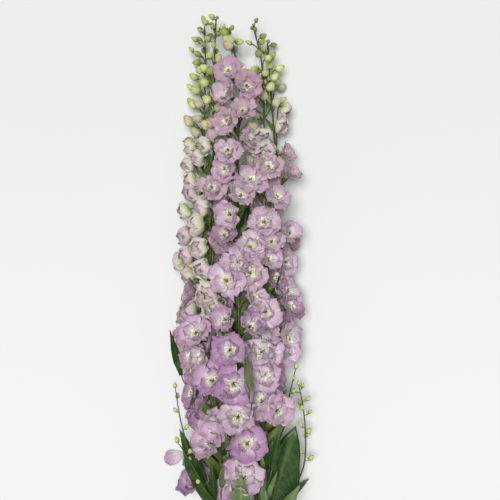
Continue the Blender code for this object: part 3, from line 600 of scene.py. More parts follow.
def inScene(name, data):
    made = bpy.data.objects.new(name, data)
    bpy.context.scene.collection.objects.link(made)
    return made


def copyOf(source):
    return inScene(source.name, source.data.copy())


def joinedPieces(objects, name):
    chosen(*objects)
    bpy.ops.object.join()
    made = bpy.context.object
    made.name = made.data.name = name
    return made


def walled(sheet, thickness, offset, materials):  # the first material is on the inner or upper face
    for material in materials:
        sheet.data.materials.append(material)
    wall = sheet.modifiers.new("thickness", "SOLIDIFY")
    wall.thickness = thickness
    wall.offset = offset
    wall.material_offset = len(materials) - 1
    sheet.data.shade_smooth()
    chosen(sheet)
    bpy.ops.object.modifier_apply(modifier=wall.name)
    return sheet


def points(obj):
    flat = np.empty(len(obj.data.vertices) * 3, np.float32)
    obj.data.vertices.foreach_get("co", flat)
    return flat.reshape(-1, 3).astype(float)


def setPoints(obj, places):
    obj.data.vertices.foreach_set("co", np.asarray(places, np.float32).ravel())
    obj.data.update()


def marked(obj, tone, blush):  # how deep and how flushed a piece is, which its material reads
    for name, value in (("tone", tone), ("blush", blush)):
        attribute = obj.data.attributes.new(name, "FLOAT", "POINT")
        attribute.data.foreach_set("value", np.full(len(obj.data.vertices), value, np.float32))


def dropped(objects):
    for obj in objects:
        mesh = obj.data
        bpy.data.objects.remove(obj)
        bpy.data.meshes.remove(mesh)


# Petals. Each is a grid shaped to an outline, one unit long, with its base at the origin, its tip towards +Y
# and its inner face towards +Z. An outline is a list of shares of the length with half the width there.
sepalOutline = [(0.0, 0.10), (0.2, 0.27), (0.4, 0.42), (0.6, 0.51), (0.8, 0.51), (0.92, 0.43), (1.0, 0.27)]
innerOutline = [(0.0, 0.12), (0.2, 0.26), (0.4, 0.39), (0.6, 0.46), (0.8, 0.45), (0.92, 0.37), (1.0, 0.23)]
cupOutline = [(0.0, 0.14), (0.2, 0.36), (0.4, 0.54), (0.6, 0.58), (0.8, 0.46), (1.0, 0.16)]
beeOutline = [(0.0, 0.12), (0.35, 0.26), (0.7, 0.34), (1.0, 0.20)]
bractOutline = [(0.0, 0.04), (0.3, 0.11), (0.6, 0.09), (1.0, 0.012)]
bractWidth = 2 * max(halfWidth for _, halfWidth in bractOutline)


def petalSheet(name, outline, key, curl, ruffle, columns=5, rows=7, reflex=0.12, cupping=0.12,
               thickness=0.014, materials=(sepalFront, sepalBack)):
    bpy.ops.mesh.primitive_grid_add(x_subdivisions=columns, y_subdivisions=rows, size=2)
    sheet = bpy.context.object
    sheet.name = name
    shares, halfWidths = zip(*outline)
    for vert in sheet.data.vertices:
        across, along = vert.co.x, math.sqrt((vert.co.y + 1) / 2) * 0.35 + (vert.co.y + 1) / 2 * 0.65
        halfWidth = float(np.interp(along, shares, halfWidths))
        halfWidth *= 1 + ruffle * math.sin(9 * along + 3 * chance(key, 13) + across)
        length = along * (1 + 0.6 * ruffle * math.sin(4 * across + 3 * chance(key, 14)))
        length -= 0.09 * across**2 * along**3
        height = math.sin(1.7 * math.pi * across + 3 * chance(key, 11)) * 0.7 * ruffle * along**2
        height += math.sin(9 * along + 2.5 * across + 3 * chance(key, 12)) * 1.2 * ruffle * across**2
        height += math.sin(7 * across + 3 * chance(key, 15)) * 0.8 * ruffle * along**4
        height += cupping * across**2 * along - reflex * along**4
        height -= 0.09 * (1 - abs(across)) * along * (1 - along)  # a groove along the middle
        bend = curl * length
        vert.co = (
            across * halfWidth * (1 - 0.10 * curl * along * across**2),
            math.sin(bend) / curl - math.sin(bend) * height,
            (1 - math.cos(bend)) / curl + math.cos(bend) * height,
        )
    return walled(sheet, thickness, -1, materials)


def placedPetal(source, around, pitch, size, width, start, twist):
    petal = copyOf(source)
    petal.data.transform(
        Matrix.Rotation(math.radians(around), 4, "Z")
        @ Matrix.Translation((0, start, 0))
        @ Matrix.Rotation(math.radians(pitch), 4, "X")
        @ Matrix.Rotation(math.radians(twist), 4, "Y")
        @ Matrix.Diagonal((size * width, size, size, 1))
    )
    return petal


def taperedTube(name, rows, sides, material):  # one mesh of closed tubes, each a list of points and radii
    curve = bpy.data.curves.new(name, "CURVE")
    curve.dimensions = "3D"
    curve.bevel_depth = 1.0
    curve.bevel_resolution = (sides - 4) // 2
    curve.use_fill_caps = True
    for path, radii in rows:
        spline = curve.splines.new("POLY")
        spline.points.add(len(path) - 1)
        for corner, point, radius in zip(spline.points, path, radii):
            corner.co = (*point, 1)
            corner.radius = radius
    chosen(inScene(name, curve))
    bpy.ops.object.convert(target="MESH")
    made = bpy.context.object
    bpy.ops.object.mode_set(mode="EDIT")
    bpy.ops.mesh.select_all(action="SELECT")
    bpy.ops.mesh.remove_doubles(threshold=1e-6)  # the caps are loose until then
    bpy.ops.object.mode_set(mode="OBJECT")
    made.data.materials.append(material)
    made.data.shade_smooth()
    return made


def bentLine(start, startWay, end, endWay, steps):  # a smooth curve that leaves and arrives in those ways
    reach = (end - start).length * 0.45
    a, b = start + startWay * reach, end - endWay * reach
    line = []
    for i in range(steps + 1):
        t = i / steps
        line.append(start * (1 - t)**3 + a * 3 * t * (1 - t)**2 + b * 3 * t**2 * (1 - t) + end * t**3)
    return line


sepals = [
    petalSheet("sepal", sepalOutline, 3 + i, columns=6, rows=8, curl=0.25 + 0.12 * i,
               ruffle=0.045 + 0.010 * i)
    for i in range(5)
]
innerPetals = [
    petalSheet("innerPetal", innerOutline, 23 + i, curl=0.45 + 0.15 * i, reflex=0.05, cupping=0.2,
               ruffle=0.05 + 0.01 * i)
    for i in range(4)
]
cupSepals = [
    petalSheet("cupSepal", cupOutline, 43 + i, curl=3.1 - 0.25 * i, reflex=0.0, cupping=0.10, ruffle=0.03,
               materials=(cupFront, cupBack))
    for i in range(3)
]
beePetals = [
    petalSheet("beePetal", beeOutline, 63 + i, columns=4, rows=4, curl=0.5, ruffle=0.14, cupping=0.35,
               thickness=0.05, materials=(beePetal,))
    for i in range(3)
]
bractBlade = petalSheet("bract", bractOutline, 83, columns=2, rows=4, curl=0.5, reflex=0.0, cupping=0.03,
                        ruffle=0.01, thickness=0.025, materials=(bractGreen,))
print("petals shaped")

# How far the sepals of each open floret stand up in degrees, how many inner petals it has, and its other
# parts. Sizes are in lengths of a sepal, for the throat and spur of the half-open florets too.
floretPlan = {
    "openness": (4, 14, 24, 0, 36, 10, 28), "outer": 5, "inner": (3, 5, 4, 5, 3, 6, 4), "bee": 6,
    "stamens": 4, "throat": 0.92, "spurLength": 0.62, "spurRadius": 0.10,
}
cupPlan = {"outer": 5, "inner": 4, "throat": 1.3, "spur": 1.2, "sunk": 0.62}
budSwells = (0.74, 0.80, 0.66)  # how wide each closed bud is
# Rings of petals. Each row is a measure's middle value, its spread, the number of its draw, and what every
# second petal has more. The measures are the angle round the flower and the one off its plane in degrees,
# the size, the width as a share of it, the distance from the middle, and the roll in degrees.
rings = {
    "outer": ((0, 10, 1, 0), (0, 11, 2, 5), (1, 0.1, 3, 0), (1.04, 0.1, 4, 0), (0.03, 0, 0, 0),
              (0, 14, 5, 0)),
    "inner": ((36, 18, 6, 0), (17, 9, 7, 0), (0.68, 0.12, 8, 0), (1, 0.16, 9, 0), (0.08, 0, 0, 0),
              (0, 20, 10, 0)),
    "cupOuter": ((0, 8, 1, 0), (-14, 5, 2, 0), (2.2, 0.12, 9, 0), (0.9, 0.05, 3, 0), (0.05, 0, 0, 0.03),
                 (0, 8, 4, 0)),
    "cupInner": ((20, 14, 5, 0), (4, 8, 6, 0), (1.45, 0.2, 7, 0), (0.7, 0, 0, 0), (0.05, 0, 0, 0),
                 (0, 12, 8, 0)),
    "bee": ((0, 24, 21, 0), (34, 15, 22, 0), (0.36, 0.08, 25, 0), (1.1, 0, 0, 0), (0.03, 0, 0, 0),
            (0, 30, 26, 0)),
}


def petalRing(name, petals, key, lift=0.0, scale=1.0):
    made = []
    for i, petal in enumerate(petals):
        around, pitch, size, width, start, twist = (
            middle + spread * chance(key, i, draw) + more * (i % 2)
            for middle, spread, draw, more in rings[name])
        around += 360 / len(petals) * i
        made.append(placedPetal(petal, around, lift + pitch, size * scale, width, start * scale, twist))
    return made


def throat(key, size):  # the cream bee petals and the dark anthers
    rows = []
    for i in range(floretPlan["stamens"]):
        around = math.tau * (i / floretPlan["stamens"] + 0.1 * chance(key, i, 23))
        way = Vector((math.sin(around), math.cos(around), 0))
        foot = way * 0.03 * size
        lift = Vector((0, 0, 0.19 + 0.04 * chance(key, i, 24)))
        tip = foot + (way * (0.05 + 0.05 * chance(key, i, 27)) + lift) * size
        rows.append(([foot, foot.lerp(tip, 0.6), tip, tip + (tip - foot) * 0.25],
                     [share * size for share in (0.012, 0.014, 0.026, 0.010)]))
    petals = [beePetals[i % len(beePetals)] for i in range(floretPlan["bee"])]
    return [*petalRing("bee", petals, key, scale=size), taperedTube("stamens", rows, 6, anther)]


def spurTube(size, base):
    reach = floretPlan["spurLength"] * size
    path = [Vector((0, 0.10 * reach * i, base - 0.22 * reach * i + 0.025 * reach * i * i)) for i in range(5)]
    radii = [floretPlan["spurRadius"] * size * (1 - 0.17 * i) for i in range(5)]
    return taperedTube("spur", [(path, radii)], 8, sepalBack)


def openFloret(number):
    key = 100 + number
    flat = floretPlan["openness"][number]
    outer = [sepals[(2 * i + number) % len(sepals)] for i in range(floretPlan["outer"])]
    inner = [innerPetals[(i + number) % len(innerPetals)] for i in range(floretPlan["inner"][number])]
    pieces = petalRing("outer", outer, key, flat) + petalRing("inner", inner, key, 0.5 * flat)
    pieces += [*throat(key, floretPlan["throat"]), spurTube(1.0, -0.02)]
    return joinedPieces(pieces, f"openFloret{number}")


def cupFloret(number):
    key = 200 + number
    outer = [cupSepals[(number + i // 3) % len(cupSepals)] for i in range(cupPlan["outer"])]
    inner = [cupSepals[(i + 1) % len(cupSepals)] for i in range(cupPlan["inner"])]
    pieces = petalRing("cupOuter", outer, key) + petalRing("cupInner", inner, key)
    pieces += [*throat(key, cupPlan["throat"]), spurTube(cupPlan["spur"], 0.10)]
    made = joinedPieces(pieces, f"cupFloret{number}")
    setPoints(made, points(made) - np.array((0, 0, cupPlan["sunk"])))
    return made


def closedBud(number):
    # One unit long from its base at the origin to its tip along +Z, with five sepals folded over each other.
    bpy.ops.mesh.primitive_uv_sphere_add(segments=15, ring_count=9, radius=0.5, location=(0, 0, 0.5))
    bud = bpy.context.object
    bpy.ops.object.transform_apply(location=True)
    for vert in bud.data.vertices:
        height = vert.co.z
        around = math.atan2(vert.co.y, vert.co.x)
        fold = 0.06 * math.cos(5 * around + 2.2 * height + number) * math.sin(math.pi * height)
        swell = budSwells[number] * (1 + 0.12 * math.cos(math.pi * height)) + fold
        vert.co.x *= swell
        vert.co.y = vert.co.y * swell + 0.05 * math.sin(math.pi * height)
        vert.co.z = height + 0.06 * max(0, height - 0.85) / 0.15  # a small point
    bud.data.materials.append(budLime)
    bud.data.shade_smooth()
    path = [Vector((0, y, z)) for y, z in ((-0.10, 0.20), (-0.26, 0.08), (-0.40, 0.04), (-0.50, 0.10))]
    spur = taperedTube("budSpur", [(path, [0.10, 0.085, 0.06, 0.03])], 6, budLime)
    return joinedPieces([bud, spur], f"closedBud{number}")


openFlorets = [openFloret(number) for number in range(len(floretPlan["openness"]))]
cupFlorets = [cupFloret(number) for number in range(3)]
closedBuds = [closedBud(number) for number in range(len(budSwells))]
dropped(sepals + innerPetals + cupSepals + beePetals)
print("florets shaped:", len(openFlorets[0].data.polygons), "faces each")

dressing = {
    # A floret's size as a share of the placed radius, at its stem's foot and from fullBelow up, that of a
    # half-open one, and how much larger those are that don't look up.
    "floret": (1.15, 1.06), "fullBelow": 0.35, "cup": 1.04, "hidden": 1.10,
    # Those that don't look up sink by the first depth within crowded of one that does, else by the second.
    # The others are raised. No petal goes further over the solids' top than overTop.
    "crowded": 0.036, "sunk": (0.014, 0.004), "raised": 0.002, "overTop": 0.001,
    # Florets turn outwards, by sideways where they are halfWidth from the middle stem.
    "sideways": 0.75, "halfWidth": 0.07,
    # Petals bend from this share of their room on. Towards neighbours the room counts so many times over.
    "givesFrom": 0.85, "softInFront": 3.0, "softBehind": 2.0,
    # How long the bracts at a pedicel's foot are, low and high on the stem, the share of the small ones on
    # it, how much lower the pedicels of half-open florets and buds start, and how far a late bud's one rises.
    "bract": (0.030, 0.022), "budBract": (0.014, 0.006), "bracteole": 0.45,
    "steeper": 0.012, "lateRise": 0.016,
}
# How deep a floret's lilac is, from 0 to 1, and how faded it can be. Besides its random depth, a floret that
# looks up is painted paler, as painted light, and one behind the front ones is painted darker, as painted
# shade.
tones = {"middle": 0.52, "varies": 0.85, "paintedLightLookingUp": 0.30, "behind": 0.25, "deepest": 0.85, "mostFaded": 0.8}
pedicelRadii = {  # from the stem to the flower
    "flower": [0.0013, 0.0011, 0.0010, 0.0010, 0.0010, 0.0011, 0.0012, 0.0014],
    "bud": [0.0010, 0.0009, 0.0008, 0.0007, 0.0007, 0.0008, 0.0010],
    "lateBud": [0.0009] * 7,
}


def setDown(source, flower, turn, size, centre):  # a floret with its petals bent round its neighbours
    made = copyOf(source)
    offsets = points(made) * size @ np.array(turn).T
    softness = dressing["softInFront" if flower["inFront"] else "softBehind"]
    up = Vector((0, 0, 1))
    planes = [(-up, centre.z - placing["apart"] / 2), (up, cadBox[1][2] + dressing["overTop"] - centre.z)]
    planes += [(way, max(room, placing["apart"]) * softness) for way, room in roomRound(flower)]
    ways = np.array([way for way, _ in planes])
    rooms = np.array([max(room, placing["apart"]) for _, room in planes])
    reach = np.linalg.norm(offsets, axis=1)
    along = (offsets / np.maximum(reach, 1e-9)[:, None]) @ ways.T
    limit = np.where(along > 1e-3, rooms / np.maximum(along, 1e-3), placing["freeReach"]).min(1)
    start = dressing["givesFrom"] * limit
    spare = limit - start
    bent = np.where(reach > start, start + spare * (1 - np.exp((start - reach) / spare)), reach)
    setPoints(made, np.array(centre) + offsets * (bent / np.maximum(reach, 1e-9))[:, None])
    return made


def laidAlong(blade, base, way, front, length, width):  # from base along way, its inner face to the front
    side = way.cross(front).normalized()
    turn = np.array(Matrix((side, way, side.cross(way))).transposed())
    setPoints(blade, np.array(base) + points(blade) * (width, length, length) @ turn.T)
    return blade


def pedicelBracts(line, key, longest, width):  # one at the pedicel's foot and two small ones further up
    out = (line[-1] - line[0]).normalized()
    foot = (out * 0.55 + Vector((0.2 * chance(key, 41), 0.8, 0.1))).normalized()
    length = longest * (1 + 0.2 * chance(key, 42))
    made = [laidAlong(copyOf(bractBlade), line[0], foot, out, length, length * width)]
    length = longest * dressing["bracteole"]
    for i, place in enumerate((0.55, 0.75)):
        at = line[round(place * (len(line) - 1))]
        way = (out + Vector((chance(key, 43, i), 0.7, chance(key, 44, i))) * 0.8).normalized()
        made.append(laidAlong(copyOf(bractBlade), at, way, out.cross(way), length, length * 0.9 * width))
    return made


def standing(flower):  # how far a floret is raised: one under a flower that looks up sinks out of its way
    if flower["inFront"]:
        return dressing["raised"]
    others = (f["middle"] for f in flowers if f["inFront"] and f["kind"] == "florets")
    gap = min((other - flower["middle"]).xy.length for other in others)
    return -dressing["sunk"][0] if gap < dressing["crowded"] else -dressing["sunk"][1]


def buildFlowers(stem):
    pieces = []
    pedicels = []
    for number, flower in enumerate(f for f in flowers if f["stem"] == stem and f["kind"] != "buds"):
        key, share, middle, foot = flower["key"], flower["share"], flower["middle"], flower["foot"]
        out = outward(foot, middle).normalized()
        size = flower["radius"] * (1 + 0.11 * chance(key, 31))
        if flower["kind"] == "cups":
            source, backOf = cupFlorets[number % 3], 0.6
            face = Vector((out.x, 0, 0.35 * out.z + 0.1)).normalized()
            foot = onStem(stem, foot.y - dressing["steeper"])
            size *= dressing["cup"]
            blush = max(0, 0.4 * chance(key, 37))
        else:
            source, backOf = openFlorets[(number * 5 + 2) % len(openFlorets)], 0.10
            edge = (middle.x - onStem("middle", middle.y).x) / dressing["halfWidth"]
            face = (flower["face"] + Vector((dressing["sideways"] * edge**3, 0, 0))).normalized()
            middle = middle + flower["face"] * standing(flower)
            size *= mix(dressing["floret"], min(1, share / dressing["fullBelow"]))
            size *= 1 if flower["inFront"] else dressing["hidden"] * stems[stem]["vigour"]
            blush = min(tones["mostFaded"], 0.65 * share**3 + 0.6 * max(0, chance(key, 37) - 0.3))
        turn = facing(face, key, lean[flower["kind"]])
        piece = setDown(source, flower, turn, size, middle)
        # The tone is a random depth of lilac, with painted light where the floret looks up and painted shade
        # where it lies behind.
        tone = tones["middle"] + tones["varies"] * chance(key, 32) - tones["paintedLightLookingUp"] * flower["face"].z
        tone += 0 if flower["inFront"] else tones["behind"]
        marked(piece, min(tones["deepest"], max(0, tone)), blush)
        normal = turn @ Vector((0, 0, 1))
        back = middle - normal * size * backOf
        line = bentLine(foot, (out * 0.7 + Vector((0, 0.7, 0))).normalized(), back, normal, 7)
        pedicels.append((line, pedicelRadii["flower"]))
        pieces += [piece, *pedicelBracts(line, key, mix(dressing["bract"], share), 1.3)]
    made = joinedPieces([*pieces, taperedTube("pedicels", pedicels, 6, stalkGreen)], stem + "Florets")
    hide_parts(stems[stem]["node"] + "_florets")
    return made


def placedBud(middle, way, radius, key, tone, blush):
    made = copyOf(closedBuds[int(7 * abs(chance(key, 34))) % 3])
    length = 2.2 * radius * (1 + 0.10 * chance(key, 35))
    base = middle - way * length * 0.5
    turn = way.to_track_quat("Z", "Y").to_matrix() @ Matrix.Rotation(math.pi * chance(key, 33), 3, "Z")
    setPoints(made, np.array(base) + points(made) * length @ np.array(turn).T)
    marked(made, tone, blush)
    return made, base


def budOnPedicel(middle, foot, out, lift, radius, key, tone, blush):
    way = (out + Vector((0, lift, 0))).normalized()
    bud, base = placedBud(middle, way, radius, key, tone, blush)
    return bud, bentLine(foot, (out * 0.5 + Vector((0, 0.9, 0))).normalized(), base, way, 6)


# Late buds that fill in between the others: the stem, the place, the radius, how dark and how flushed.
lateBuds = [
    ("leftLow", (-0.0725, 0.315, 0.036), 0.008, 0.2, 0.75),
    ("leftLow", (-0.064, 0.2975, 0.04), 0.008, 0.3, 0.6),
    ("leftLow", (-0.0675, 0.3384, 0.034), 0.0062, 0.1, 0.3),
    ("leftLow", (-0.071, 0.364, 0.03), 0.006, 0.3, 0.0),
    ("leftLow", (-0.07, 0.418, 0.028), 0.0048, 0.5, 0.0),
    ("leftLow", (-0.0655, 0.433, 0.026), 0.0045, 0.6, 0.0),
    ("leftLow", (-0.0532, 0.464, 0.022), 0.0036, 0.6, 0.0),
    ("leftHigh", (-0.0489, 0.452, 0.05), 0.0045, 0.6, 0.0),
    ("leftHigh", (-0.04, 0.46, 0.048), 0.0048, 0.5, 0.0),
    ("leftHigh", (-0.025, 0.445, 0.052), 0.0048, 0.3, 0.0),
    ("leftHigh", (-0.048, 0.305, 0.066), 0.007, 0.2, 0.5),
    ("leftHigh", (-0.052, 0.27, 0.07), 0.0068, 0.15, 0.4),
    ("rightHigh", (0.015, 0.335, 0.06), 0.0072, 0.2, 0.2),
    ("rightHigh", (0.0215, 0.32, 0.058), 0.0066, 0.3, 0.4),
    ("rightHigh", (0.017, 0.303, 0.062), 0.008, 0.2, 0.7),
    ("rightLow", (0.06, 0.344, 0.034), 0.007, 0.2, 0.5),
    ("leftLow", (-0.07, 0.108, 0.046), 0.0078, 0.1, 0.45),
    ("leftLow", (-0.068, 0.072, 0.044), 0.0078, 0.15, 0.6),
]


def buildBuds(stem):
    pieces = []
    pedicels = []
    for number, (owner, place, radius, tone, blush) in enumerate(lateBuds):
        if owner != stem:
            continue
        key, middle = 400 + number, Vector(place)
        foot = onStem(stem, middle.y - dressing["lateRise"])
        out, lift = outward(foot, middle).normalized(), 0.7 + 0.3 * chance(key, 9)
        bud, line = budOnPedicel(middle, foot, out, lift, radius, key, tone, blush)
        pieces.append(bud)
        pedicels.append((line, pedicelRadii["lateBud"]))
    for flower in (f for f in flowers if f["stem"] == stem and f["kind"] == "buds"):
        key, share, middle, foot = flower["key"], flower["share"], flower["middle"], flower["foot"]
        out, lift = outward(foot, middle).normalized(), 0.5 + 0.4 * chance(key, 9)
        foot = onStem(stem, foot.y - dressing["steeper"] * (1 - 0.6 * share))
        tone = min(1, max(0, 0.25 + 0.75 * share**2 + 0.3 * chance(key, 36)))
        bud, line = budOnPedicel(
            middle, foot, out, lift, flower["radius"], key, tone, max(0, 0.8 - 2.2 * share))
        pieces += [bud, *pedicelBracts(line, key, mix(dressing["budBract"], share), 0.8)]
        pedicels.append((line, pedicelRadii["bud"]))
    made = joinedPieces([*pieces, taperedTube("pedicels", pedicels, 6, stalkGreen)], stem + "Buds")
    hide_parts(stems[stem]["node"] + "_buds")
    return made


# Leaves: the stem, the foot along it, the heel and the tip of the middle lobe, the degrees between lobes, the
# first and last lobe, and the roll about its length in degrees.
leaves = {
    "rightBroad": ("rightLow", -0.318, (0.036, -0.262, 0.026), (0.079, -0.120, 0.042), 56, (0, 0), -10),
    "rightFront": ("rightHigh", -0.340, (0.036, -0.272, 0.062), (0.083, -0.192, 0.084), 30, (-1, 1), -10),
    "middleFront": ("middle", -0.330, (0.001, -0.272, 0.092), (0.002, -0.166, 0.117), 44, (-1, 1), 0),
    "middleRight": ("rightHigh", -0.290, (0.032, -0.232, 0.058), (0.031, -0.150, 0.072), 20, (0, 1), 0),
    "leftLong": ("leftHigh", -0.320, (-0.036, -0.236, 0.060), (-0.088, -0.111, 0.080), 28, (0, 0), 25),
    "leftNarrow": ("leftHigh", -0.290, (-0.050, -0.222, 0.062), (-0.072, -0.152, 0.066), 34, (0, 0), 10),
    "leftMiddle": ("leftHigh", -0.290, (-0.034, -0.236, 0.056), (-0.041, -0.157, 0.074), 22, (-1, 0), 15),
    "leftBack": ("leftLow", -0.355, (-0.034, -0.312, 0.018), (-0.076, -0.234, 0.022), 28, (-2, 0), 10),
    "leftFront": ("leftHigh", -0.350, (-0.022, -0.310, 0.040), (-0.062, -0.238, 0.052), 28, (-2, 2), 20),
    "rightBack": ("rightLow", -0.350, (0.034, -0.318, 0.016), (0.070, -0.236, 0.022), 26, (-1, 1), -20),
    "rightUnder": ("rightLow", -0.300, (0.046, -0.250, 0.010), (0.080, -0.160, 0.008), 26, (-1, 1), 0),
    "rightSlim": ("rightHigh", -0.235, (0.044, -0.178, 0.066), (0.056, -0.118, 0.086), 28, (0, 0), -15),
    "rightCentre": ("rightHigh", -0.300, (0.030, -0.246, 0.048), (0.046, -0.136, 0.048), 40, (0, 0), 0),
    "leftCentre": ("middle", -0.300, (-0.008, -0.250, 0.050), (-0.016, -0.130, 0.060), 46, (0, 0), 0),
    "middleUnder": ("rightLow", -0.310, (0.028, -0.252, 0.010), (0.020, -0.136, 0.010), 24, (0, 1), 0),
}
undersideUp = ("rightFront", "middleFront", "middleRight")  # these blades are turned over
leafShape = {
    "thickness": 0.0006, "arch": 0.05, "shrink": 0.26, "teeth": 0.05, "columnsPerLobe": 12, "rows": 12,
}
# One side of a lobe from its tip to the notch beside it: the angle off its rib as a share of half the degrees
# between lobes, and the distance from the heel as a share of the lobe's length.
lobeSide = ((0.0, 1.0), (0.08, 0.93), (0.26, 0.80), (0.46, 0.66), (0.74, 0.53), (1.0, 0.33))


def buildLeaf(name):
    stem, foot, heel, tip, spread, lobes, roll = leaves[name]
    heel, tip, foot = bentClear(stem, Vector(heel)), Vector(tip), onStem(stem, foot)
    along = tip - heel
    side = along.cross(Vector((0, 0, 1))).normalized()
    side.rotate(Matrix.Rotation(math.radians(roll), 3, along))
    normal = side.cross(along).normalized()
    key = 10 * list(leaves).index(name)
    count = lobes[1] - lobes[0] + 1
    bpy.ops.mesh.primitive_grid_add(
        x_subdivisions=leafShape["columnsPerLobe"] * count, y_subdivisions=leafShape["rows"], size=2)
    blade = bpy.context.object
    for corner in blade.data.uv_layers[0].data:  # each lobe has the whole width of the UV square
        corner.uv.x = (corner.uv.x * count) % 1.0 if 0 < corner.uv.x < 1 else corner.uv.x
    for vert in blade.data.vertices:
        share, reach = (vert.co.x + 1) / 2 * count, (vert.co.y + 1) / 2
        number = min(int(share), count - 1)
        off = lobes[0] + number
        inLobe = 2 * (share - number) - 1  # from -1 to 1 across the lobe
        angle = off * spread + inLobe * spread / 2
        length = 1 - leafShape["shrink"] * abs(off) + 0.05 * chance(key, off)
        outline = float(np.interp(abs(inLobe), *zip(*lobeSide)))
        outline *= 1 + leafShape["teeth"] * math.sin(9 * abs(inLobe) + key) * abs(inLobe)
        turn = Matrix.Rotation(math.radians(-angle), 3, normal)
        far = max(0.02, reach) * outline * length
        arch = math.cos(math.tau * angle / spread) - (angle / 60) ** 2
        crease = 0.05 * (1 - abs(inLobe)) * math.sin(math.pi * min(1, reach)) - 0.02
        wave = 0.012 * math.sin(11 * reach + 4 * inLobe + key) * abs(inLobe)
        corner = heel + (turn @ along + normal * leafShape["arch"] * along.length * arch) * far
        corner -= normal * along.length * (crease - wave) * 0.6
        vert.co = bentClear(stem, corner)
    faces = (leafBack, leafFront) if name in undersideUp else (leafFront, leafBack)
    walled(blade, leafShape["thickness"], 0, faces)
    petiole = bentLine(foot, (heel - foot).normalized(), heel + along * 0.06, along.normalized(), 8)
    return [blade], [(petiole, [0.0020 - 0.00009 * i for i in range(9)])]


# Long bracts among the florets: the stem, the foot along it, where the blade starts, its tip, its full
# width and whether its face is dark.
bracts = {
    "overFlorets": ("middle", -0.12, (0.016, -0.076, 0.108), (0.0073, 0.0032, 0.1175), 0.0125, False),
    "leftEdge": ("leftLow", -0.09, (-0.084, -0.048, 0.034), (-0.0985, 0.021, 0.056), 0.013, True),
    "leftInner": ("leftHigh", -0.08, (-0.04, -0.06, 0.07), (-0.052, -0.018, 0.078), 0.007, False),
    "acrossFoot": ("leftHigh", -0.14, (-0.029, -0.106, 0.07), (-0.056, -0.112, 0.076), 0.007, False),
    "rightUpper": ("rightLow", 0.04, (0.045, 0.062, 0.066), (0.059, 0.108, 0.082), 0.0032, True),
    "rightTwin": ("rightLow", 0.03, (0.047, 0.056, 0.066), (0.053, 0.083, 0.08), 0.003, True),
    "rightTendril": ("rightHigh", -0.11, (0.0521, -0.0777, 0.06), (0.0625, -0.054, 0.06), 0.0035, True),
    "footLeft": ("leftHigh", -0.24, (-0.026, -0.2, 0.066), (-0.018, -0.156, 0.08), 0.013, False),
    "footMiddle": ("middle", -0.24, (-0.008, -0.206, 0.074), (-0.003, -0.16, 0.092), 0.012, False),
    "footRight": ("middle", -0.23, (0.014, -0.196, 0.076), (0.024, -0.148, 0.09), 0.011, False),
    "footDark": ("rightHigh", -0.24, (0.03, -0.206, 0.058), (0.04, -0.142, 0.07), 0.015, True),
    # The last two are dark sheets set in the gaps between florets, standing in for the shade there.
    "gapUpper": ("middle", 0.11, (0.003, 0.144, 0.044), (0.012, 0.208, 0.05), 0.015, True),
    "gapLower": ("middle", -0.02, (-0.005, 0.008, 0.04), (-0.01, 0.064, 0.046), 0.013, True),
}


def buildBract(name):
    stem, foot, start, tip, width, dark = bracts[name]
    start, tip, foot = Vector(start), Vector(tip), onStem(stem, foot)
    along = tip - start
    way = along.normalized()
    blade = petalSheet(name, bractOutline, 90 + len(name), columns=4, rows=9, curl=0.10, reflex=0.0,
                       cupping=0.05, ruffle=0.02, thickness=0.008,
                       materials=(leafFront if dark else bractOlive, leafFront))
    laidAlong(blade, start, way, Vector((0, 0, 1)), along.length, width / bractWidth)
    line = bentLine(foot, (start - foot).normalized(), start + along * 0.03, way, 5)
    return [blade], [(line, [0.0009] * 6)]


# Narrow bracts that spread from the sides of each stem towards the others, under the flowers. They are set
# there to darken the gaps between florets, standing in for the shade there.
shadeStemBracts = {
    "low": -0.185, "high": 0.365, "pairs": 21, "length": (0.050, 0.020), "width": 1.15, "spread": 0.55,
    "free": {"leftLow": (1,), "rightLow": (-1,)},  # the outer stems have them on their inner side only
}


def buildShadeStemBracts(stem):
    made = []
    for i in range(shadeStemBracts["pairs"]):
        share = i / (shadeStemBracts["pairs"] - 1)
        for way in shadeStemBracts["free"].get(stem, (-1, 1)):
            key = stems[stem]["turn"] + 3 * i + way
            base = onStem(stem, mix((shadeStemBracts["low"], shadeStemBracts["high"]), share) + 0.006 * way)
            aside = way * (shadeStemBracts["spread"] + 0.25 * chance(key, 51))
            along = Vector((aside, 0.8, 0.2 * chance(key, 52) - 0.08)).normalized()
            length = mix(shadeStemBracts["length"], share) * (1 + 0.2 * chance(key, 53))
            made.append(laidAlong(
                copyOf(bractBlade), base, along, Vector((0, 0, 1)), length, length * shadeStemBracts["width"]))
    return made


# Side shoots: the stem, the foot along it, the path that it takes and its number of buds.
shoots = {
    "rightLong": ("rightLow", -0.270, [
        (0.066, -0.226, 0.026), (0.090, -0.180, 0.032), (0.093, -0.130, 0.036), (0.089, -0.090, 0.040),
        (0.084, -0.064, 0.044)], 12),
    "rightShort": ("rightLow", -0.170, [
        (0.062, -0.120, 0.046), (0.068, -0.080, 0.054), (0.077, -0.040, 0.056)], 5),
    "leftShort": ("leftHigh", -0.270, [
        (-0.056, -0.190, 0.068), (-0.072, -0.140, 0.080), (-0.082, -0.100, 0.086),
        (-0.088, -0.062, 0.086)], 6),
    "leftBent": ("leftHigh", -0.240, [
        (-0.044, -0.206, 0.076), (-0.064, -0.168, 0.084), (-0.082, -0.138, 0.084)], 3),
}
shootBud = {
    "radius": 0.0037, "reach": 0.0085, "first": 0.45, "tone": 0.30, "pedicel": 0.0006,
    "twig": (0.0015, 0.0007), "steps": 5,
}


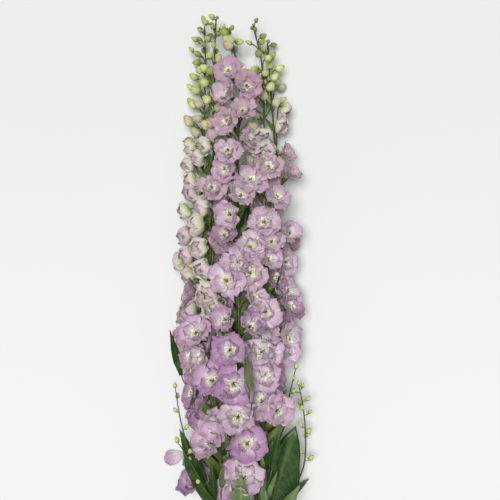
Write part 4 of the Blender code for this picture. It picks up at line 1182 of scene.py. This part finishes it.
def buildShoot(name):
    stem, foot, path, buds = shoots[name]
    corners = [onStem(stem, foot), *(bentClear(stem, Vector(point)) for point in path)]
    steps = shootBud["steps"]
    line = []
    for i in range(len(corners) - 1):
        before, start, end, after = cornersRound(corners, i)
        leaving, arriving = (end - before) * 0.5, (after - start) * 0.5
        line += [curved(start, end, leaving, arriving, step / steps) for step in range(steps)]
    line.append(corners[-1])
    rows = [(line, [mix(shootBud["twig"], i / (len(line) - 1)) for i in range(len(line))])]
    made = []
    key = 7 * list(shoots).index(name)
    for i in range(buds):
        place = (len(corners) - 1) * mix((shootBud["first"], 1), i / max(buds - 1, 1))
        onShoot = line[min(round(place * steps), len(line) - 1)]
        way = Vector((math.cos(2.4 * i + key), 0.5, 0.8 * math.sin(2.4 * i + key))).normalized()
        if i == buds - 1:
            way = (corners[-1] - corners[-2]).normalized()
        middle = onShoot + way * shootBud["reach"] * (1 + 0.3 * chance(key, i))
        middle = keptInRoom(stem, middle, shootBud["radius"] * placing["budStretch"])
        upward = (way + Vector((0, 0.6, 0))).normalized()
        radius = shootBud["radius"] * (1 + 0.12 * chance(key, i, 5))
        bud, base = placedBud(middle, upward, radius, key + i, shootBud["tone"], 0.0)
        made.append(bud)
        rows.append((bentLine(onShoot, way, base, upward, 4), [shootBud["pedicel"]] * 5))
    return made, rows


def boreCutEnd(stalk):  # a cut delphinium stem is a tube
    low = min(face.center.y for face in stalk.data.polygons)
    for item in (*stalk.data.vertices, *stalk.data.edges, *stalk.data.polygons):
        item.select = False
    for face in stalk.data.polygons:
        face.select = face.center.y < low + 1e-4
    chosen(stalk)
    bpy.ops.object.mode_set(mode="EDIT")
    bpy.ops.mesh.select_mode(type="FACE")
    bpy.ops.mesh.inset(thickness=stemShape["hollowWall"])
    bpy.ops.mesh.extrude_region_move(TRANSFORM_OT_translate={"value": (0, stemShape["hollowDepth"], 0)})
    bpy.ops.object.mode_set(mode="OBJECT")


def buildStalk(stem):
    cut, tip = stems[stem]["cut"][1], stems[stem]["path"][-1][1]
    steps = round((tip - cut) / stemShape["step"])
    places = [mix((cut, tip), i / steps) for i in range(steps + 1)]
    rows = [([onStem(stem, y) for y in places], [stemRadius(stem, y) for y in places])]
    grown = []
    for build, plan in ((buildLeaf, leaves), (buildBract, bracts), (buildShoot, shoots)):
        for name in plan:
            if plan[name][0] == stem:
                blades, tubes = build(name)
                grown += blades
                rows += tubes
    stalk = taperedTube("stalk", rows, 10, stalkGreen)
    boreCutEnd(stalk)
    made = joinedPieces([stalk, *grown, *buildShadeStemBracts(stem)], stem + "Stalk")
    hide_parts(stems[stem]["node"] + "_leafy_stalk")
    return made


for stem in stems:
    for piece in (buildStalk(stem), buildFlowers(stem), buildBuds(stem)):
        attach(piece, "root")
    print(stem, "built")


# The fallen sepal
fallen = {
    "claw": (-0.081, -0.166, 0), "tip": (-0.111, -0.174, 0), "rise": 0.0010, "width": 0.72, "tone": 0.35,
}


def buildFallenSepal():
    sheet = petalSheet("fallenSepal", sepalOutline, 77, curl=0.35, reflex=0.0, cupping=0.10, ruffle=0.03)
    claw, tip = Vector(fallen["claw"]), Vector(fallen["tip"])
    along = tip - claw
    turn = Matrix.Rotation(math.atan2(-along.x, along.y), 3, "Z")
    places = points(sheet) * along.length * 1.02
    places[:, 0] *= fallen["width"]
    places = places @ np.array(turn).T + np.array(claw)
    places[:, 2] += fallen["rise"] - places[:, 2].min()
    setPoints(sheet, places)
    marked(sheet, fallen["tone"], 0.0)
    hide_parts("fallen_sepal")
    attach(sheet, "root")


buildFallenSepal()
dropped([*openFlorets, *cupFlorets, *closedBuds, bractBlade])

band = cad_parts["tie"]
band.data.materials.clear()
band.data.materials.append(rubberBand)
print("sepal and band done")


# Stage. The floor is painted a little greyer past the flower tips, a painted shade where the light falls off.
# The camera takes in viewWidth at flowerHeight.
stage = {
    "near": "#EFEFEE", "far": "#E6E8E7", "paintedFalloffSpan": (-0.20, 0.45),
    "camera": (0.014, 0.131, 1.45), "viewWidth": 0.700, "flowerHeight": 0.06,
    "sky": (0.97, 0.98, 1.0, 1), "skyStrength": 0.22,
    "sunStrength": 2.69, "sunAngle": 26, "sunTurn": (-4, -6, 0),
}
bpy.ops.mesh.primitive_plane_add(size=6, location=(0, 0, 0))
floor = bpy.context.object
floor.name = "floor"
paper, paperTree = newMaterial("paper matt white", 0.9, 1.45)
paperPlace = addNode(paperTree, "ShaderNodeTexCoord").outputs["Object"]
paperY = addNode(paperTree, "ShaderNodeSeparateXYZ", links={"Vector": paperPlace}).outputs["Y"]
paintedFalloff = smoothStep(paperTree, paperY, *stage["paintedFalloffSpan"])
floor.data.materials.append(covered(paper, blendColours(paperTree, paintedFalloff, stage["near"], stage["far"])))

camera = inScene("camera", bpy.data.cameras.new("camera"))
camera.location = stage["camera"]
distance = stage["camera"][2] - stage["flowerHeight"]
camera.data.lens = camera.data.sensor_width * distance / stage["viewWidth"]
bpy.context.scene.camera = camera

world = bpy.data.worlds.new("studio")
bpy.context.scene.world = world
world.use_nodes = True
world.node_tree.nodes["Background"].inputs["Color"].default_value = stage["sky"]
world.node_tree.nodes["Background"].inputs["Strength"].default_value = stage["skyStrength"]

# Soft light from nearly overhead, as from a diffuser above the table, that fills the floor evenly.
overhead = inScene("overhead", bpy.data.lights.new("overhead", "SUN"))
overhead.data.energy = stage["sunStrength"]
overhead.data.angle = math.radians(stage["sunAngle"])
overhead.rotation_euler = [math.radians(degrees) for degrees in stage["sunTurn"]]
bpy.context.scene.view_settings.view_transform = "Standard"
